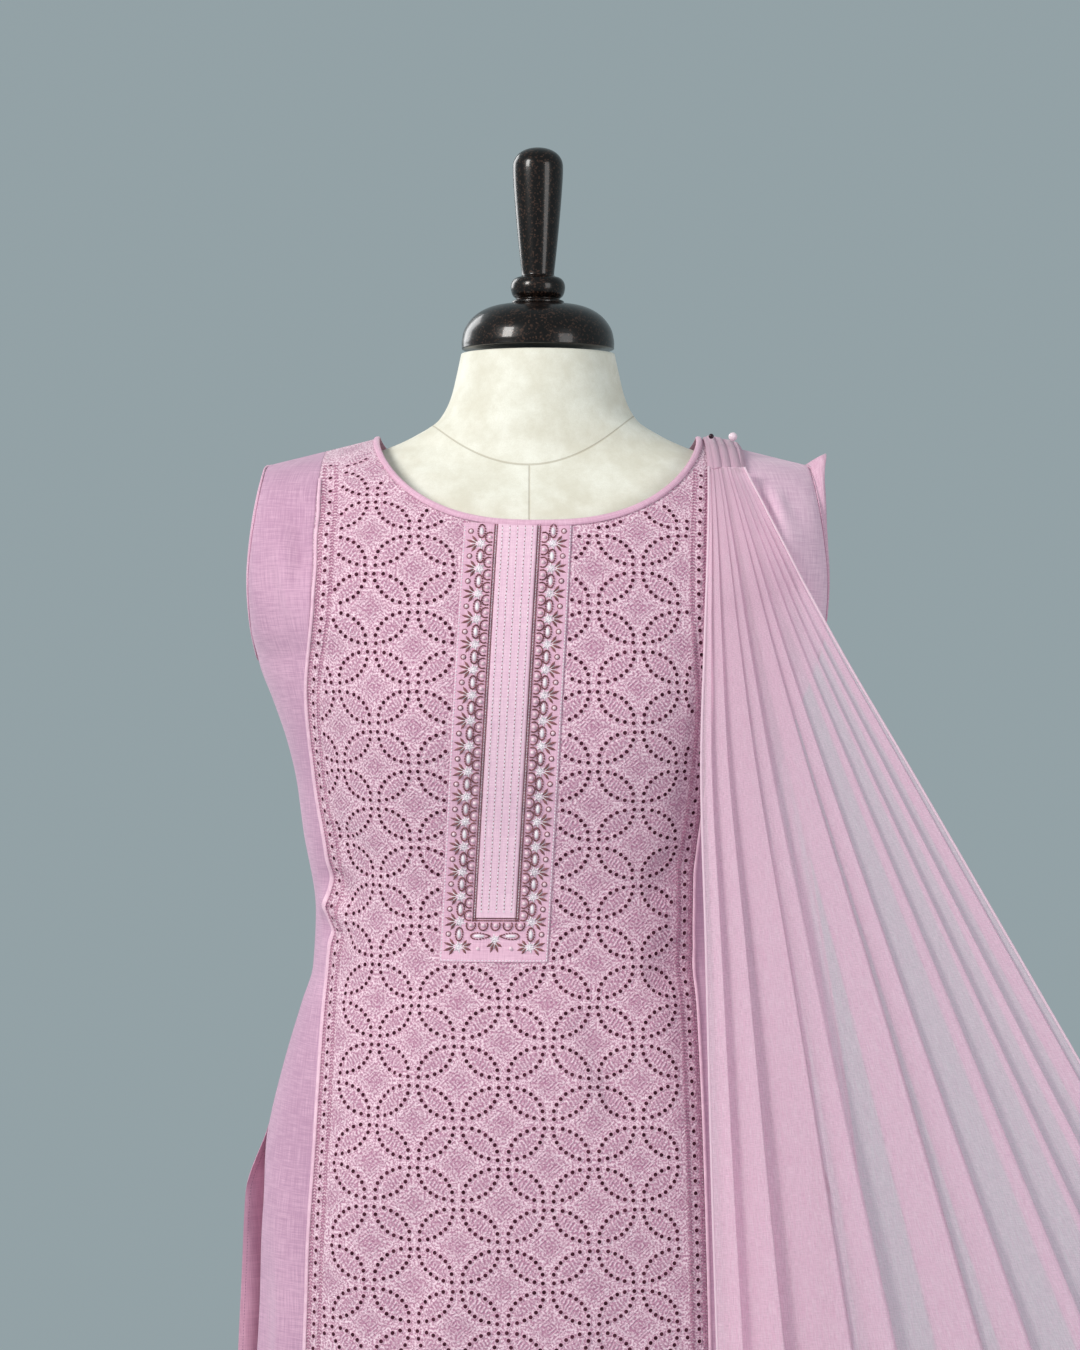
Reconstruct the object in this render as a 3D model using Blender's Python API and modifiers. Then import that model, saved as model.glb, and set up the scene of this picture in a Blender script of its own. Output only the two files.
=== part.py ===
"""A salwar kameez suit on a dress form: a sleeveless kameez, a salwar and a pinned dupatta.

Metres, +Z up. The origin is the middle of the stand's base on the floor, the front faces -Y,
and +X is the wearer's left. Each cloth piece is a thin wall on sections of one garment.
"""

import math
from collections import namedtuple

import bmesh
import bpy
import numpy as np
from mathutils.bvhtree import BVHTree

# Cloth walls and the clearances between pieces
CLOTH = 0.0015
TRIM = 0.0012
SEAM_GAP = 0.0005
SHOULDER_GAP = 0.0011
LAID_GAP = 0.0012
EDGE_BAND_GAP = 0.0022

# Heights
HEM_Z = 0.400
SLIT_TOP_Z = 0.925
UNDERARM_Z = 1.255
SHOULDER_Z = 1.420
FORM_BOTTOM_Z = 0.800

# Shoulder line: it falls from the neck point to the shoulder tip
NECK_POINT_X = 0.116
SHOULDER_TIP_X = 0.198
SHOULDER_DROP = 0.021
SHOULDER_Y = 0.010

# Scoop of the neck, front and back, below the shoulder's neck point
FRONT_SCOOP = 0.066
BACK_SCOOP = 0.034

# Rows of a panel in the skirt, in the fitted body and above the underarm
SKIRT_ROWS = 4
SKIRT_TOP_Z = 0.863
BODY_ROWS = 11
HIGH_ROWS = 8
NECK_COLUMNS = 9

# Roundness of the garment's sections: 2 is an ellipse, more is squarer
ROUNDNESS = 2.3

# The garment's outline, hem to shoulder. Above the underarm, half_width is the armhole's edge.
Section = namedtuple("Section", "z half_width front back edge_front edge_back")
SECTIONS = [
    Section(0.400, 0.222, 0.152, 0.168, -0.012, 0.012),
    Section(0.600, 0.218, 0.150, 0.164, -0.010, 0.010),
    Section(0.754, 0.213, 0.147, 0.158, -0.008, 0.008),
    Section(0.863, 0.206, 0.143, 0.150, -0.005, 0.005),
    Section(0.925, 0.195, 0.138, 0.139, 0.000, 0.000),
    Section(0.969, 0.184, 0.131, 0.124, 0.000, 0.000),
    Section(1.009, 0.172, 0.122, 0.109, 0.000, 0.000),
    Section(1.035, 0.164, 0.116, 0.099, 0.000, 0.000),
    Section(1.075, 0.162, 0.113, 0.091, 0.000, 0.000),
    Section(1.133, 0.171, 0.121, 0.093, 0.000, 0.000),
    Section(1.170, 0.176, 0.128, 0.098, 0.000, 0.000),
    Section(1.199, 0.183, 0.131, 0.104, 0.000, 0.000),
    Section(1.228, 0.193, 0.132, 0.109, 0.000, 0.000),
    Section(1.255, 0.203, 0.130, 0.113, -0.001, 0.001),
    Section(1.280, 0.207, 0.127, 0.116, -0.025, 0.025),
    Section(1.310, 0.208, 0.120, 0.117, -0.044, 0.042),
    Section(1.340, 0.206, 0.108, 0.113, -0.050, 0.050),
    Section(1.373, 0.202, 0.088, 0.098, -0.044, 0.048),
    Section(1.395, 0.199, 0.066, 0.076, -0.030, 0.038),
    Section(1.410, 0.198, 0.038, 0.050, -0.012, 0.026),
    Section(1.420, 0.198, -0.010, 0.010, 0.010, 0.010),
]

# Princess seams of the centre front panel, hem to shoulder
Seam = namedtuple("Seam", "z right left")
SEAMS = [
    Seam(0.400, -0.170, 0.124),
    Seam(0.754, -0.164, 0.120),
    Seam(0.921, -0.157, 0.116),
    Seam(1.002, -0.153, 0.113),
    Seam(1.065, -0.149, 0.110),
    Seam(1.107, -0.150, 0.111),
    Seam(1.171, -0.159, 0.118),
    Seam(1.232, -0.164, 0.122),
    Seam(1.298, -0.158, 0.120),
    Seam(1.420, -0.155, 0.125),
]

# The bust: two soft mounds that the front is cut to hold
BUST_X = 0.082
BUST_Z = 1.212
BUST_REACH = 0.012
BUST_SPREAD_X = 0.050
BUST_SPREAD_Z = 0.058

# Flutes of the open skirt, deepest at the hem
Flute = namedtuple("Flute", "at width depth")
FLUTES_FRONT = [
    Flute(-0.62, 0.13, 0.007),
    Flute(-0.22, 0.16, -0.004),
    Flute(0.18, 0.12, 0.006),
    Flute(0.55, 0.17, -0.005),
]
FLUTES_BACK = [
    Flute(-0.50, 0.15, 0.010),
    Flute(-0.05, 0.14, 0.008),
    Flute(0.45, 0.16, 0.011),
]

# Placket: a false front opening that leans to the wearer's right
PLACKET_TOP_X = -0.014
PLACKET_BOTTOM_X = -0.031
PLACKET_TOP_Z = 1.350
PLACKET_BOTTOM_Z = 1.046
PLACKET_HALF_WIDTH = 0.0375
STRIP_HALF_WIDTH = 0.0140
STRIP_BOTTOM_Z = 1.078

# Narrow trims laid on the panels
PIPING_HALF_WIDTH = 0.0011
PIPING_THICK = 0.0010
BINDING_WIDTH = 0.0036
ARMHOLE_BAND = 0.0100

# Dupatta: a bundle of pleats over the left shoulder, and a fan on each side of it
BUNDLE_INNER_X = 0.1215
BUNDLE_OUTER_X = 0.1540
BUNDLE_FOOT_Z = 1.3924
BUNDLE_THICK = 0.0045
BUNDLE_LIFT = 0.0020
FAN_LIFT = 0.0035

# Pins through the bundle, in front of the shoulder seam
Pin = namedtuple("Pin", "x z radius")
PINS = {
    "pin_pearl": Pin(0.1385, 1.4080, 0.0032),
    "pin_dark": Pin(0.1225, 1.4090, 0.0019),
}

# Where the pleats of the dupatta fold: the place across the fan, and the side it folds to
Pleat = namedtuple("Pleat", "across fold")
FRONT_PLEATS = [
    Pleat(0.000, -0.3),
    Pleat(0.045, 0.9),
    Pleat(0.085, -0.8),
    Pleat(0.160, 1.0),
    Pleat(0.215, -0.9),
    Pleat(0.290, 0.7),
    Pleat(0.340, -1.0),
    Pleat(0.425, 1.0),
    Pleat(0.490, -0.6),
    Pleat(0.560, 0.9),
    Pleat(0.640, -1.0),
    Pleat(0.705, 0.8),
    Pleat(0.790, -0.9),
    Pleat(0.860, 0.7),
    Pleat(0.930, -0.8),
    Pleat(1.000, 0.3),
]
BACK_PLEATS = [
    Pleat(0.00, -0.3),
    Pleat(0.12, 0.9),
    Pleat(0.25, -0.9),
    Pleat(0.40, 1.0),
    Pleat(0.52, -0.7),
    Pleat(0.68, 0.9),
    Pleat(0.84, -0.9),
    Pleat(1.00, 0.3),
]
FanRow = namedtuple("FanRow", "z inner outer reach_inner reach_outer depth")
FRONT_FAN = [
    FanRow(1.392, 0.1215, 0.154, 0.064, 0.062, 0.0006),
    FanRow(1.345, 0.1195, 0.170, 0.100, 0.082, 0.0014),
    FanRow(1.270, 0.1160, 0.209, 0.126, 0.096, 0.0026),
    FanRow(1.180, 0.1130, 0.261, 0.140, 0.102, 0.0045),
    FanRow(1.060, 0.1160, 0.330, 0.146, 0.106, 0.0070),
    FanRow(0.900, 0.1200, 0.422, 0.149, 0.111, 0.0090),
    FanRow(0.700, 0.1260, 0.537, 0.152, 0.118, 0.0105),
    FanRow(0.350, 0.1320, 0.738, 0.156, 0.126, 0.0120),
    FanRow(0.008, 0.1360, 0.935, 0.160, 0.134, 0.0130),
]
BACK_FAN = [
    FanRow(1.392, 0.1215, 0.154, 0.080, 0.078, 0.0006),
    FanRow(1.330, 0.1120, 0.168, 0.112, 0.098, 0.0016),
    FanRow(1.200, 0.0900, 0.190, 0.126, 0.112, 0.0050),
    FanRow(1.000, 0.0720, 0.225, 0.140, 0.124, 0.0080),
    FanRow(0.780, 0.0560, 0.258, 0.160, 0.144, 0.0105),
    FanRow(0.560, 0.0420, 0.290, 0.176, 0.160, 0.0120),
]

# Salwar: it hangs from the form's hips, with the pole inside its left leg
CROTCH_X = -0.030
CROTCH_Z = 0.600
CUFF_Z = 0.060
BAND_TOP_Z = 0.995
BAND_BOTTOM_Z = 0.950
BAND_GAP = 0.0010
Inset = namedtuple("Inset", "z inset")
SALWAR_INSETS = [
    Inset(0.400, 0.060),
    Inset(0.600, 0.050),
    Inset(0.800, 0.026),
    Inset(0.925, 0.008),
    Inset(0.950, 0.0045),
    Inset(0.995, 0.0045),
]
Leg = namedtuple("Leg", "side cuff_x cuff_half_width cuff_half_depth")
LEGS = {
    "salwar_leg_right": Leg(-1, -0.120, 0.066, 0.070),
    "salwar_leg_left": Leg(1, 0.050, 0.078, 0.070),
}

# Dress form above the chest, where the neck leaves it
FormRow = namedtuple("FormRow", "z half_width front back roundness")
FORM_TOP = [
    FormRow(1.345, 0.197, 0.096, 0.102, 2.2),
    FormRow(1.370, 0.192, 0.081, 0.088, 2.1),
    FormRow(1.388, 0.184, 0.067, 0.073, 1.9),
    FormRow(1.400, 0.150, 0.060, 0.064, 1.7),
    FormRow(1.410, 0.113, 0.057, 0.059, 1.7),
    FormRow(1.420, 0.090, 0.056, 0.057, 1.9),
    FormRow(1.432, 0.072, 0.056, 0.057, 2.0),
    FormRow(1.448, 0.0635, 0.056, 0.057, 2.0),
    FormRow(1.466, 0.0590, 0.0545, 0.055, 2.0),
    FormRow(1.480, 0.0560, 0.0530, 0.053, 2.0),
]
FORM_INSETS = [
    Inset(0.800, 0.0360),
    Inset(0.925, 0.0165),
    Inset(0.960, 0.0125),
    Inset(1.010, 0.0115),
    Inset(1.040, 0.0070),
    Inset(1.345, 0.0085),
]

# Turned cap and finial on the form's neck, top to bottom
CAP_PROFILE = [
    (0.0000, 1.5165),
    (0.0190, 1.5165),
    (0.0340, 1.5150),
    (0.0465, 1.5085),
    (0.0540, 1.4985),
    (0.0555, 1.4890),
    (0.0545, 1.4835),
    (0.0000, 1.4835),
]
FINIAL_PROFILE = [
    (0.0000, 1.6310),
    (0.0080, 1.6300),
    (0.0145, 1.6265),
    (0.0178, 1.6215),
    (0.0186, 1.6160),
    (0.0176, 1.5980),
    (0.0152, 1.5700),
    (0.0128, 1.5470),
    (0.0120, 1.5380),
    (0.0172, 1.5355),
    (0.0196, 1.5310),
    (0.0197, 1.5275),
    (0.0185, 1.5225),
    (0.0165, 1.5195),
    (0.0186, 1.5190),
    (0.0186, 1.5168),
    (0.0000, 1.5168),
]

# Stand
BASE_RADIUS = 0.190
BASE_THICK = 0.010
HUB_RADIUS = 0.032
HUB_HEIGHT = 0.045
POLE_RADIUS = 0.0125


def smooth_value(table, column, z):
    """A column's value at z, on a smooth curve through the table's rows."""
    heights = np.array([row.z for row in table])
    values = np.array([getattr(row, column) for row in table])
    if heights[0] > heights[-1]:
        heights, values = heights[::-1], values[::-1]
    steps = np.diff(heights)
    slopes = np.diff(values) / steps
    tangents = np.concatenate([[slopes[0]], np.zeros(len(slopes) - 1), [slopes[-1]]])
    for i in range(1, len(slopes)):
        if slopes[i - 1] * slopes[i] > 0:
            tangents[i] = 2 * slopes[i - 1] * slopes[i] / (slopes[i - 1] + slopes[i])
    z = min(max(z, heights[0]), heights[-1])
    i = min(int(np.searchsorted(heights, z, side="right")) - 1, len(steps) - 1)
    t = (z - heights[i]) / steps[i]
    return float(
        (2 * t**3 - 3 * t**2 + 1) * values[i]
        + (t**3 - 2 * t**2 + t) * steps[i] * tangents[i]
        + (3 * t**2 - 2 * t**3) * values[i + 1]
        + (t**3 - t**2) * steps[i] * tangents[i + 1]
    )


def between(a, b, t):
    return a + (b - a) * t


def shoulder_line(x):
    """Height of the shoulder seam at x."""
    past_neck = abs(x) - NECK_POINT_X
    return SHOULDER_Z - SHOULDER_DROP * past_neck / (SHOULDER_TIP_X - NECK_POINT_X)


def arch(share, roundness=ROUNDNESS):
    """Depth of a section at a share of its half width, as a share of its greatest depth."""
    return max(0.0, 1.0 - min(abs(share), 1.0) ** roundness) ** (1.0 / roundness)


def flute(flutes, share, z):
    """How far the skirt's flutes stand out at a share of the half width."""
    grown = min(max((SLIT_TOP_Z - z) / (SLIT_TOP_Z - HEM_Z), 0.0), 1.0)
    return grown * sum(f.depth * math.exp(-(((share - f.at) / f.width) ** 2)) for f in flutes)


def garment_y(x, z, front):
    """Y of the garment's outer surface at x and z, on its front or its back."""
    half_width = smooth_value(SECTIONS, "half_width", z)
    share = x / half_width
    lifted = z
    if z > UNDERARM_Z:
        rise = (z - UNDERARM_Z) / (SHOULDER_Z - UNDERARM_Z)
        lifted = z + (SHOULDER_Z - shoulder_line(max(abs(x), 0.6 * NECK_POINT_X))) * rise
    if front:
        depth = -smooth_value(SECTIONS, "front", lifted)
        edge = smooth_value(SECTIONS, "edge_front", lifted)
        across = math.exp(-(((abs(x) - BUST_X) / BUST_SPREAD_X) ** 2))
        mound = BUST_REACH * across * math.exp(-(((z - BUST_Z) / BUST_SPREAD_Z) ** 2))
        y = edge + (depth - edge - mound) * arch(share) - flute(FLUTES_FRONT, share, z)
        return min(y, edge - SEAM_GAP / 2, SHOULDER_Y - SHOULDER_GAP / 2)
    depth = smooth_value(SECTIONS, "back", lifted)
    edge = smooth_value(SECTIONS, "edge_back", lifted)
    y = edge + (depth - edge) * arch(share) + flute(FLUTES_BACK, share, z)
    lowest = SHOULDER_Y + SHOULDER_GAP / 2 if z > SHOULDER_Z - 2 * SHOULDER_DROP else edge
    return max(y, edge + SEAM_GAP / 2, lowest)


def neck_curve(across):
    """Depth of the neck's scoop, as a share of its deepest, from -1 to 1 across the neck."""
    return (1.0 - min(abs(across), 1.0) ** 2.6) ** 0.62


def neckline(x, front):
    """Height of the neck's edge at x, or the shoulder line outside the neck."""
    if abs(x) >= NECK_POINT_X:
        return shoulder_line(x)
    scoop = FRONT_SCOOP if front else BACK_SCOOP
    return SHOULDER_Z - scoop * neck_curve(x / NECK_POINT_X)


def panel_rows():
    """Heights of the level rows below the underarm, and shares of the rise above it."""
    skirt = list(np.linspace(HEM_Z, SKIRT_TOP_Z, SKIRT_ROWS + 1)[:-1])
    body = list(np.linspace(SKIRT_TOP_Z, UNDERARM_Z, BODY_ROWS + 1)[:-1])
    high = [1.0 - (1.0 - i / HIGH_ROWS) ** 1.6 for i in range(HIGH_ROWS + 1)]
    return skirt + body, high


def panel_grid(first, last, front, columns, top_x):
    """Points of a panel from hem to shoulder. first and last give the share of the half width
    at its two edges as functions of z, and top_x is where each column ends at the top."""
    low, high = panel_rows()
    grid = []
    for row_number in range(len(low) + len(high)):
        row = []
        for c in range(columns + 1):
            top_z = neckline(top_x[c], front)
            if row_number < len(low):
                z, rise = low[row_number], 0.0
            else:
                rise = high[row_number - len(low)]
                z = between(UNDERARM_Z, top_z, rise)
            level_share = math.sin(between(math.asin(first(z)), math.asin(last(z)), c / columns))
            top_share = top_x[c] / smooth_value(SECTIONS, "half_width", top_z)
            share = between(level_share, top_share, rise)
            x = smooth_value(SECTIONS, "half_width", z) * min(max(share, -1.0), 1.0)
            row.append((x, garment_y(x, z, front), z))
        grid.append(row)
    return np.array(grid)


def neck_columns(columns):
    """Places across the neck, closer together where its edge is steep."""
    return [-math.cos(math.pi * i / columns) * NECK_POINT_X for i in range(columns + 1)]


def grid_normals(grid, ring=False):
    """Unit normals of a grid of points. A ring's rows close on themselves."""
    if ring:
        across = np.roll(grid, -1, axis=1) - np.roll(grid, 1, axis=1)
    else:
        across = np.gradient(grid, axis=1)
    along = np.gradient(grid, axis=0)
    normals = np.cross(across, along)
    lengths = np.linalg.norm(normals, axis=2, keepdims=True)
    return normals / np.maximum(lengths, 1e-12)


def surface_tree(grids):
    """A search tree over the faces of several grids."""
    points, faces = [], []
    for grid in grids:
        start = len(points)
        rows, columns = grid.shape[:2]
        points.extend(tuple(point) for point in grid.reshape(-1, 3))
        for r in range(rows - 1):
            for c in range(columns - 1):
                corner = start + r * columns + c
                faces.append((corner, corner + 1, corner + columns + 1, corner + columns))
    return BVHTree.FromPolygons(points, faces)


def laid_on(panels, grid, lift, ring=False):
    """The grid's points set down on the panels, then moved out from them."""
    normals = grid_normals(grid, ring)
    down = np.array([[tuple(panels.find_nearest(point)[0]) for point in row] for row in grid])
    return down + normals * lift


def clear_scene():
    for obj in list(bpy.data.objects):
        bpy.data.objects.remove(obj, do_unlink=True)


def new_collection(name):
    collection = bpy.data.collections.new(name)
    bpy.context.scene.collection.children.link(collection)
    return collection


def material(name, colour, roughness, metallic=0.0):
    made = bpy.data.materials.new(name)
    made.use_nodes = True
    shader = made.node_tree.nodes["Principled BSDF"]
    shader.inputs["Base Color"].default_value = (*colour, 1.0)
    shader.inputs["Roughness"].default_value = roughness
    shader.inputs["Metallic"].default_value = metallic
    made.diffuse_color = (*colour, 1.0)
    return made


def mesh_object(name, mesh, finish, collection):
    mesh.materials.append(finish)
    mesh.shade_smooth()
    obj = bpy.data.objects.new(name, mesh)
    collection.objects.link(obj)
    return obj


def grid_mesh(name, grid, ring=False, leave_out=None):
    """A mesh through a grid of points, rows by columns. A ring closes each row on itself."""
    work = bmesh.new()
    rows = [[work.verts.new(point) for point in row] for row in grid]
    columns = len(rows[0])
    for r in range(len(rows) - 1):
        for c in range(columns if ring else columns - 1):
            if leave_out and leave_out(r, c):
                continue
            d = (c + 1) % columns
            work.faces.new((rows[r][c], rows[r][d], rows[r + 1][d], rows[r + 1][c]))
    loose = [vert for vert in work.verts if not vert.link_faces]
    bmesh.ops.delete(work, geom=loose, context="VERTS")
    mesh = bpy.data.meshes.new(name)
    work.to_mesh(mesh)
    work.free()
    return mesh


def wall(name, grid, thickness, finish, collection, side=-1.0, ring=False, leave_out=None):
    """A cloth wall on a grid: side -1 thickens it against its normals, and 1 along them."""
    obj = mesh_object(name, grid_mesh(name, grid, ring, leave_out), finish, collection)
    shell = obj.modifiers.new("Cloth", "SOLIDIFY")
    shell.thickness = thickness
    shell.offset = side
    return obj


def turned(name, profile, finish, collection, steps=24):
    """A solid of revolution from (radius, height) points, top to bottom."""
    work = bmesh.new()
    points = [work.verts.new((radius, 0.0, height)) for radius, height in profile]
    for upper, lower in zip(points, points[1:]):
        work.edges.new((upper, lower))
    mesh = bpy.data.meshes.new(name)
    work.to_mesh(mesh)
    work.free()
    obj = mesh_object(name, mesh, finish, collection)
    lathe = obj.modifiers.new("Lathe", "SCREW")
    lathe.steps = steps
    lathe.render_steps = steps
    lathe.use_merge_vertices = True
    lathe.merge_threshold = 0.0001
    return obj


def seam_share(side, z, gap):
    """Share of the half width at a princess seam, held back from the seam by a gap."""
    x = smooth_value(SEAMS, side, z) + gap
    return x / smooth_value(SECTIONS, "half_width", z)


def kameez(collection, lace, lawn):
    """The four panels of the kameez. It gives back a search tree over their outer faces."""
    half_gap = SEAM_GAP / 2
    neck = neck_columns(NECK_COLUMNS)
    right_seam = smooth_value(SEAMS, "right", SHOULDER_Z)
    left_seam = smooth_value(SEAMS, "left", SHOULDER_Z)
    centre = panel_grid(
        lambda z: seam_share("right", z, half_gap),
        lambda z: seam_share("left", z, -half_gap),
        True,
        NECK_COLUMNS + 3,
        [right_seam + half_gap, (right_seam + neck[0]) / 2, *neck, left_seam - half_gap],
    )
    wall("front_centre_panel", centre, CLOTH, lace, collection)
    right = panel_grid(
        lambda z: -1.0,
        lambda z: seam_share("right", z, -half_gap),
        True,
        5,
        list(np.linspace(-SHOULDER_TIP_X, right_seam - half_gap, 6)),
    )
    wall("front_side_right", right, CLOTH, lawn, collection)
    left = panel_grid(
        lambda z: seam_share("left", z, half_gap),
        lambda z: 1.0,
        True,
        6,
        list(np.linspace(left_seam + half_gap, SHOULDER_TIP_X, 7)),
    )
    wall("front_side_left", left, CLOTH, lawn, collection)
    shoulder = list(np.linspace(SHOULDER_TIP_X, NECK_POINT_X, 4)[:-1])
    back_top = [*shoulder, *neck[::-1], *(-x for x in shoulder[::-1])]
    back = panel_grid(lambda z: 1.0, lambda z: -1.0, False, len(back_top) - 1, back_top)
    wall("kameez_back", back, CLOTH, lawn, collection)
    return surface_tree([centre, right, left, back])


def front_point(x, z):
    return (x, garment_y(x, z, True), z)


def seam_pipings(collection, panels, finish):
    """Piping laid along each princess seam."""
    low, high = panel_rows()
    heights = low + [between(UNDERARM_Z, SHOULDER_Z - 0.038, h) for h in high]
    for name, side in (("seam_piping_right", "right"), ("seam_piping_left", "left")):
        grid = []
        for z in heights:
            x = smooth_value(SEAMS, side, z)
            edges = (x - PIPING_HALF_WIDTH, x + PIPING_HALF_WIDTH)
            grid.append([front_point(edge, z) for edge in edges])
        grid = laid_on(panels, np.array(grid), LAID_GAP)
        wall(name, grid, PIPING_THICK, finish, collection, 1.0)


def placket_grid(heights, offsets):
    """Points of a strip down the placket's leaning middle line, on the front panel."""
    grid = []
    for z in heights:
        lean = (PLACKET_TOP_Z - z) / (PLACKET_TOP_Z - PLACKET_BOTTOM_Z)
        middle = between(PLACKET_TOP_X, PLACKET_BOTTOM_X, lean)
        grid.append([front_point(middle + x, z) for x in offsets])
    return np.array(grid)


def placket(collection, panels, border_finish, strip_finish):
    """The false placket: a border round three sides, and a plain strip inside it."""
    low, _ = panel_rows()
    inside = [z for z in low if STRIP_BOTTOM_Z < z < PLACKET_TOP_Z]
    inside += list(np.linspace(UNDERARM_Z, PLACKET_TOP_Z, 6))
    heights = [PLACKET_BOTTOM_Z, STRIP_BOTTOM_Z, *inside]

    side = np.linspace(STRIP_HALF_WIDTH, PLACKET_HALF_WIDTH, 4)
    offsets = [*(-side[::-1]), 0.0, *side]
    edge = len(side) - 1

    def in_hole(r, c):
        return r >= 1 and edge <= c < len(offsets) - 1 - edge

    border = laid_on(panels, placket_grid(heights, offsets), LAID_GAP)
    wall("placket_border", border, TRIM, border_finish, collection, 1.0, leave_out=in_hole)
    half_width = STRIP_HALF_WIDTH - SEAM_GAP
    offsets = np.linspace(-half_width, half_width, 4)
    grid = placket_grid([STRIP_BOTTOM_Z + SEAM_GAP, *inside], offsets)
    strip = laid_on(panels, grid, LAID_GAP)
    wall("placket_strip", strip, TRIM, strip_finish, collection, 1.0)


def neck_loop(reach, steps=2 * NECK_COLUMNS):
    """Points round the neck, a reach outside its edge: over the front, then over the back."""
    loop = []
    for i in range(2 * steps):
        front = i <= steps
        turn = math.pi * i / steps
        across = -math.cos(turn)
        x = across * (NECK_POINT_X + reach)
        scoop = (FRONT_SCOOP if front else BACK_SCOOP) + reach
        z = shoulder_line(max(abs(x), NECK_POINT_X)) - scoop * neck_curve(across)
        y = SHOULDER_Y if i in (0, steps) else garment_y(x, z, front)
        loop.append((x, y, z))
    return loop


def neck_binding(collection, panels, finish):
    """A narrow binding laid round the neck as one ring."""
    grid = np.array([neck_loop(BINDING_WIDTH), neck_loop(0.0002)])
    grid = laid_on(panels, grid, EDGE_BAND_GAP, ring=True)
    wall("neck_binding", grid, TRIM, finish, collection, 1.0, ring=True)


def armhole_loop(side, inside):
    """Points round an armhole, a distance inside its edge: up the front, then down the back."""
    rises = panel_rows()[1][1:-1] + [0.992]
    tip_z = shoulder_line(SHOULDER_TIP_X)
    loop = [(side * smooth_value(SECTIONS, "half_width", UNDERARM_Z), 0.0, UNDERARM_Z - inside)]
    for front, order in ((True, rises), (False, rises[::-1])):
        for rise in order:
            z = between(UNDERARM_Z, tip_z, rise)
            half_width = smooth_value(SECTIONS, "half_width", z)
            along = garment_y(0.0, z, front) - garment_y(half_width, z, front)
            level = min(inside * 0.95 / abs(along), 0.75)
            share = max((1 - level**ROUNDNESS) ** (1 / ROUNDNESS), 1 - inside / half_width)
            x = half_width * share
            loop.append((side * x, garment_y(x, z, front), z))
        if front:
            x = SHOULDER_TIP_X - inside
            loop.append((side * x, SHOULDER_Y, shoulder_line(x)))
    return loop


def armhole_bands(collection, panels, finish):
    """The stitched bands round the two open armholes."""
    for name, side in (("armhole_band_right", -1), ("armhole_band_left", 1)):
        widths = (0.0, ARMHOLE_BAND / 2, ARMHOLE_BAND)
        grid = np.array([armhole_loop(side, width) for width in widths])
        if side < 0:
            grid = grid[:, ::-1]
        grid = laid_on(panels, grid, EDGE_BAND_GAP, ring=True)
        wall(name, grid, TRIM, finish, collection, 1.0, ring=True)


def fan_grid(fan, pleats, front, rows):
    """Points of a pleated fall of the dupatta, hem to shoulder."""
    grid = []
    order = pleats if front else pleats[::-1]
    for r in range(rows + 1):
        z = between(fan[0].z, fan[-1].z, (1 - r / rows) ** 1.7)
        inner, outer, near, far, depth = (
            smooth_value(fan, column, z) for column in FanRow._fields[1:]
        )
        row = []
        for pleat in order:
            x = between(inner, outer, pleat.across)
            half_width = smooth_value(SECTIONS, "half_width", z)
            under = abs(garment_y(x, z, front)) if x < half_width else 0.0
            reach = max(between(near, far, pleat.across), under + FAN_LIFT + depth)
            reach += depth * pleat.fold
            row.append((x, -reach if front else reach, z))
        grid.append(row)
    return np.array(grid)


def shoulder_bundle(panels):
    """Points of the pinned bundle, from its front foot over the shoulder to its back foot."""
    columns = 5
    rise_rows = 5
    grid = []
    for r in range(2 * rise_rows + 1):
        front = r <= rise_rows
        rise = math.sin(math.pi / 2 * (1 - abs(r - rise_rows) / rise_rows))
        row = []
        for c in range(columns + 1):
            x = between(BUNDLE_INNER_X, BUNDLE_OUTER_X, c / columns)
            z = between(BUNDLE_FOOT_Z, shoulder_line(max(x, NECK_POINT_X)), rise)
            y = SHOULDER_Y if r == rise_rows else garment_y(max(x, NECK_POINT_X), z, front)
            row.append((x, y, z))
        grid.append(row)
    return laid_on(panels, np.array(grid), BUNDLE_LIFT)


def dupatta(collection, panels, finish):
    """The long scarf, one piece of cloth in three stretches."""
    front = fan_grid(FRONT_FAN, FRONT_PLEATS, True, 18)
    wall("dupatta_front", front, CLOTH, finish, collection, 1.0)
    bundle = shoulder_bundle(panels)
    wall("dupatta_shoulder", bundle, BUNDLE_THICK, finish, collection, 1.0)
    back = fan_grid(BACK_FAN, BACK_PLEATS, False, 14)
    wall("dupatta_back", back, CLOTH, finish, collection, 1.0)


def pins(collection, finishes):
    """Round heads of the pins that hold the pleats."""
    for name, pin in PINS.items():
        y = garment_y(pin.x, pin.z, True)
        step = 0.0005
        slope_x = (garment_y(pin.x + step, pin.z, True) - y) / step
        slope_z = (garment_y(pin.x, pin.z + step, True) - y) / step
        outward = np.array([slope_x, -1.0, slope_z])
        outward /= np.linalg.norm(outward)
        lift = BUNDLE_LIFT + BUNDLE_THICK + pin.radius + 0.0012
        mesh = bpy.data.meshes.new(name)
        work = bmesh.new()
        bmesh.ops.create_uvsphere(work, u_segments=16, v_segments=10, radius=pin.radius)
        work.to_mesh(mesh)
        work.free()
        obj = mesh_object(name, mesh, finishes[name], collection)
        obj.location = np.array([pin.x, y, pin.z]) + outward * lift


def body_point(turn, z, inset):
    """A point of the plain body section at z, a distance inside the kameez. The turn runs
    from the front's middle, round the left side, back to the front."""
    half_width = smooth_value(SECTIONS, "half_width", z) - inset
    x = half_width * math.sin(turn)
    return (x, body_y(x, z, inset, math.cos(turn) > 0), z)


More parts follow.
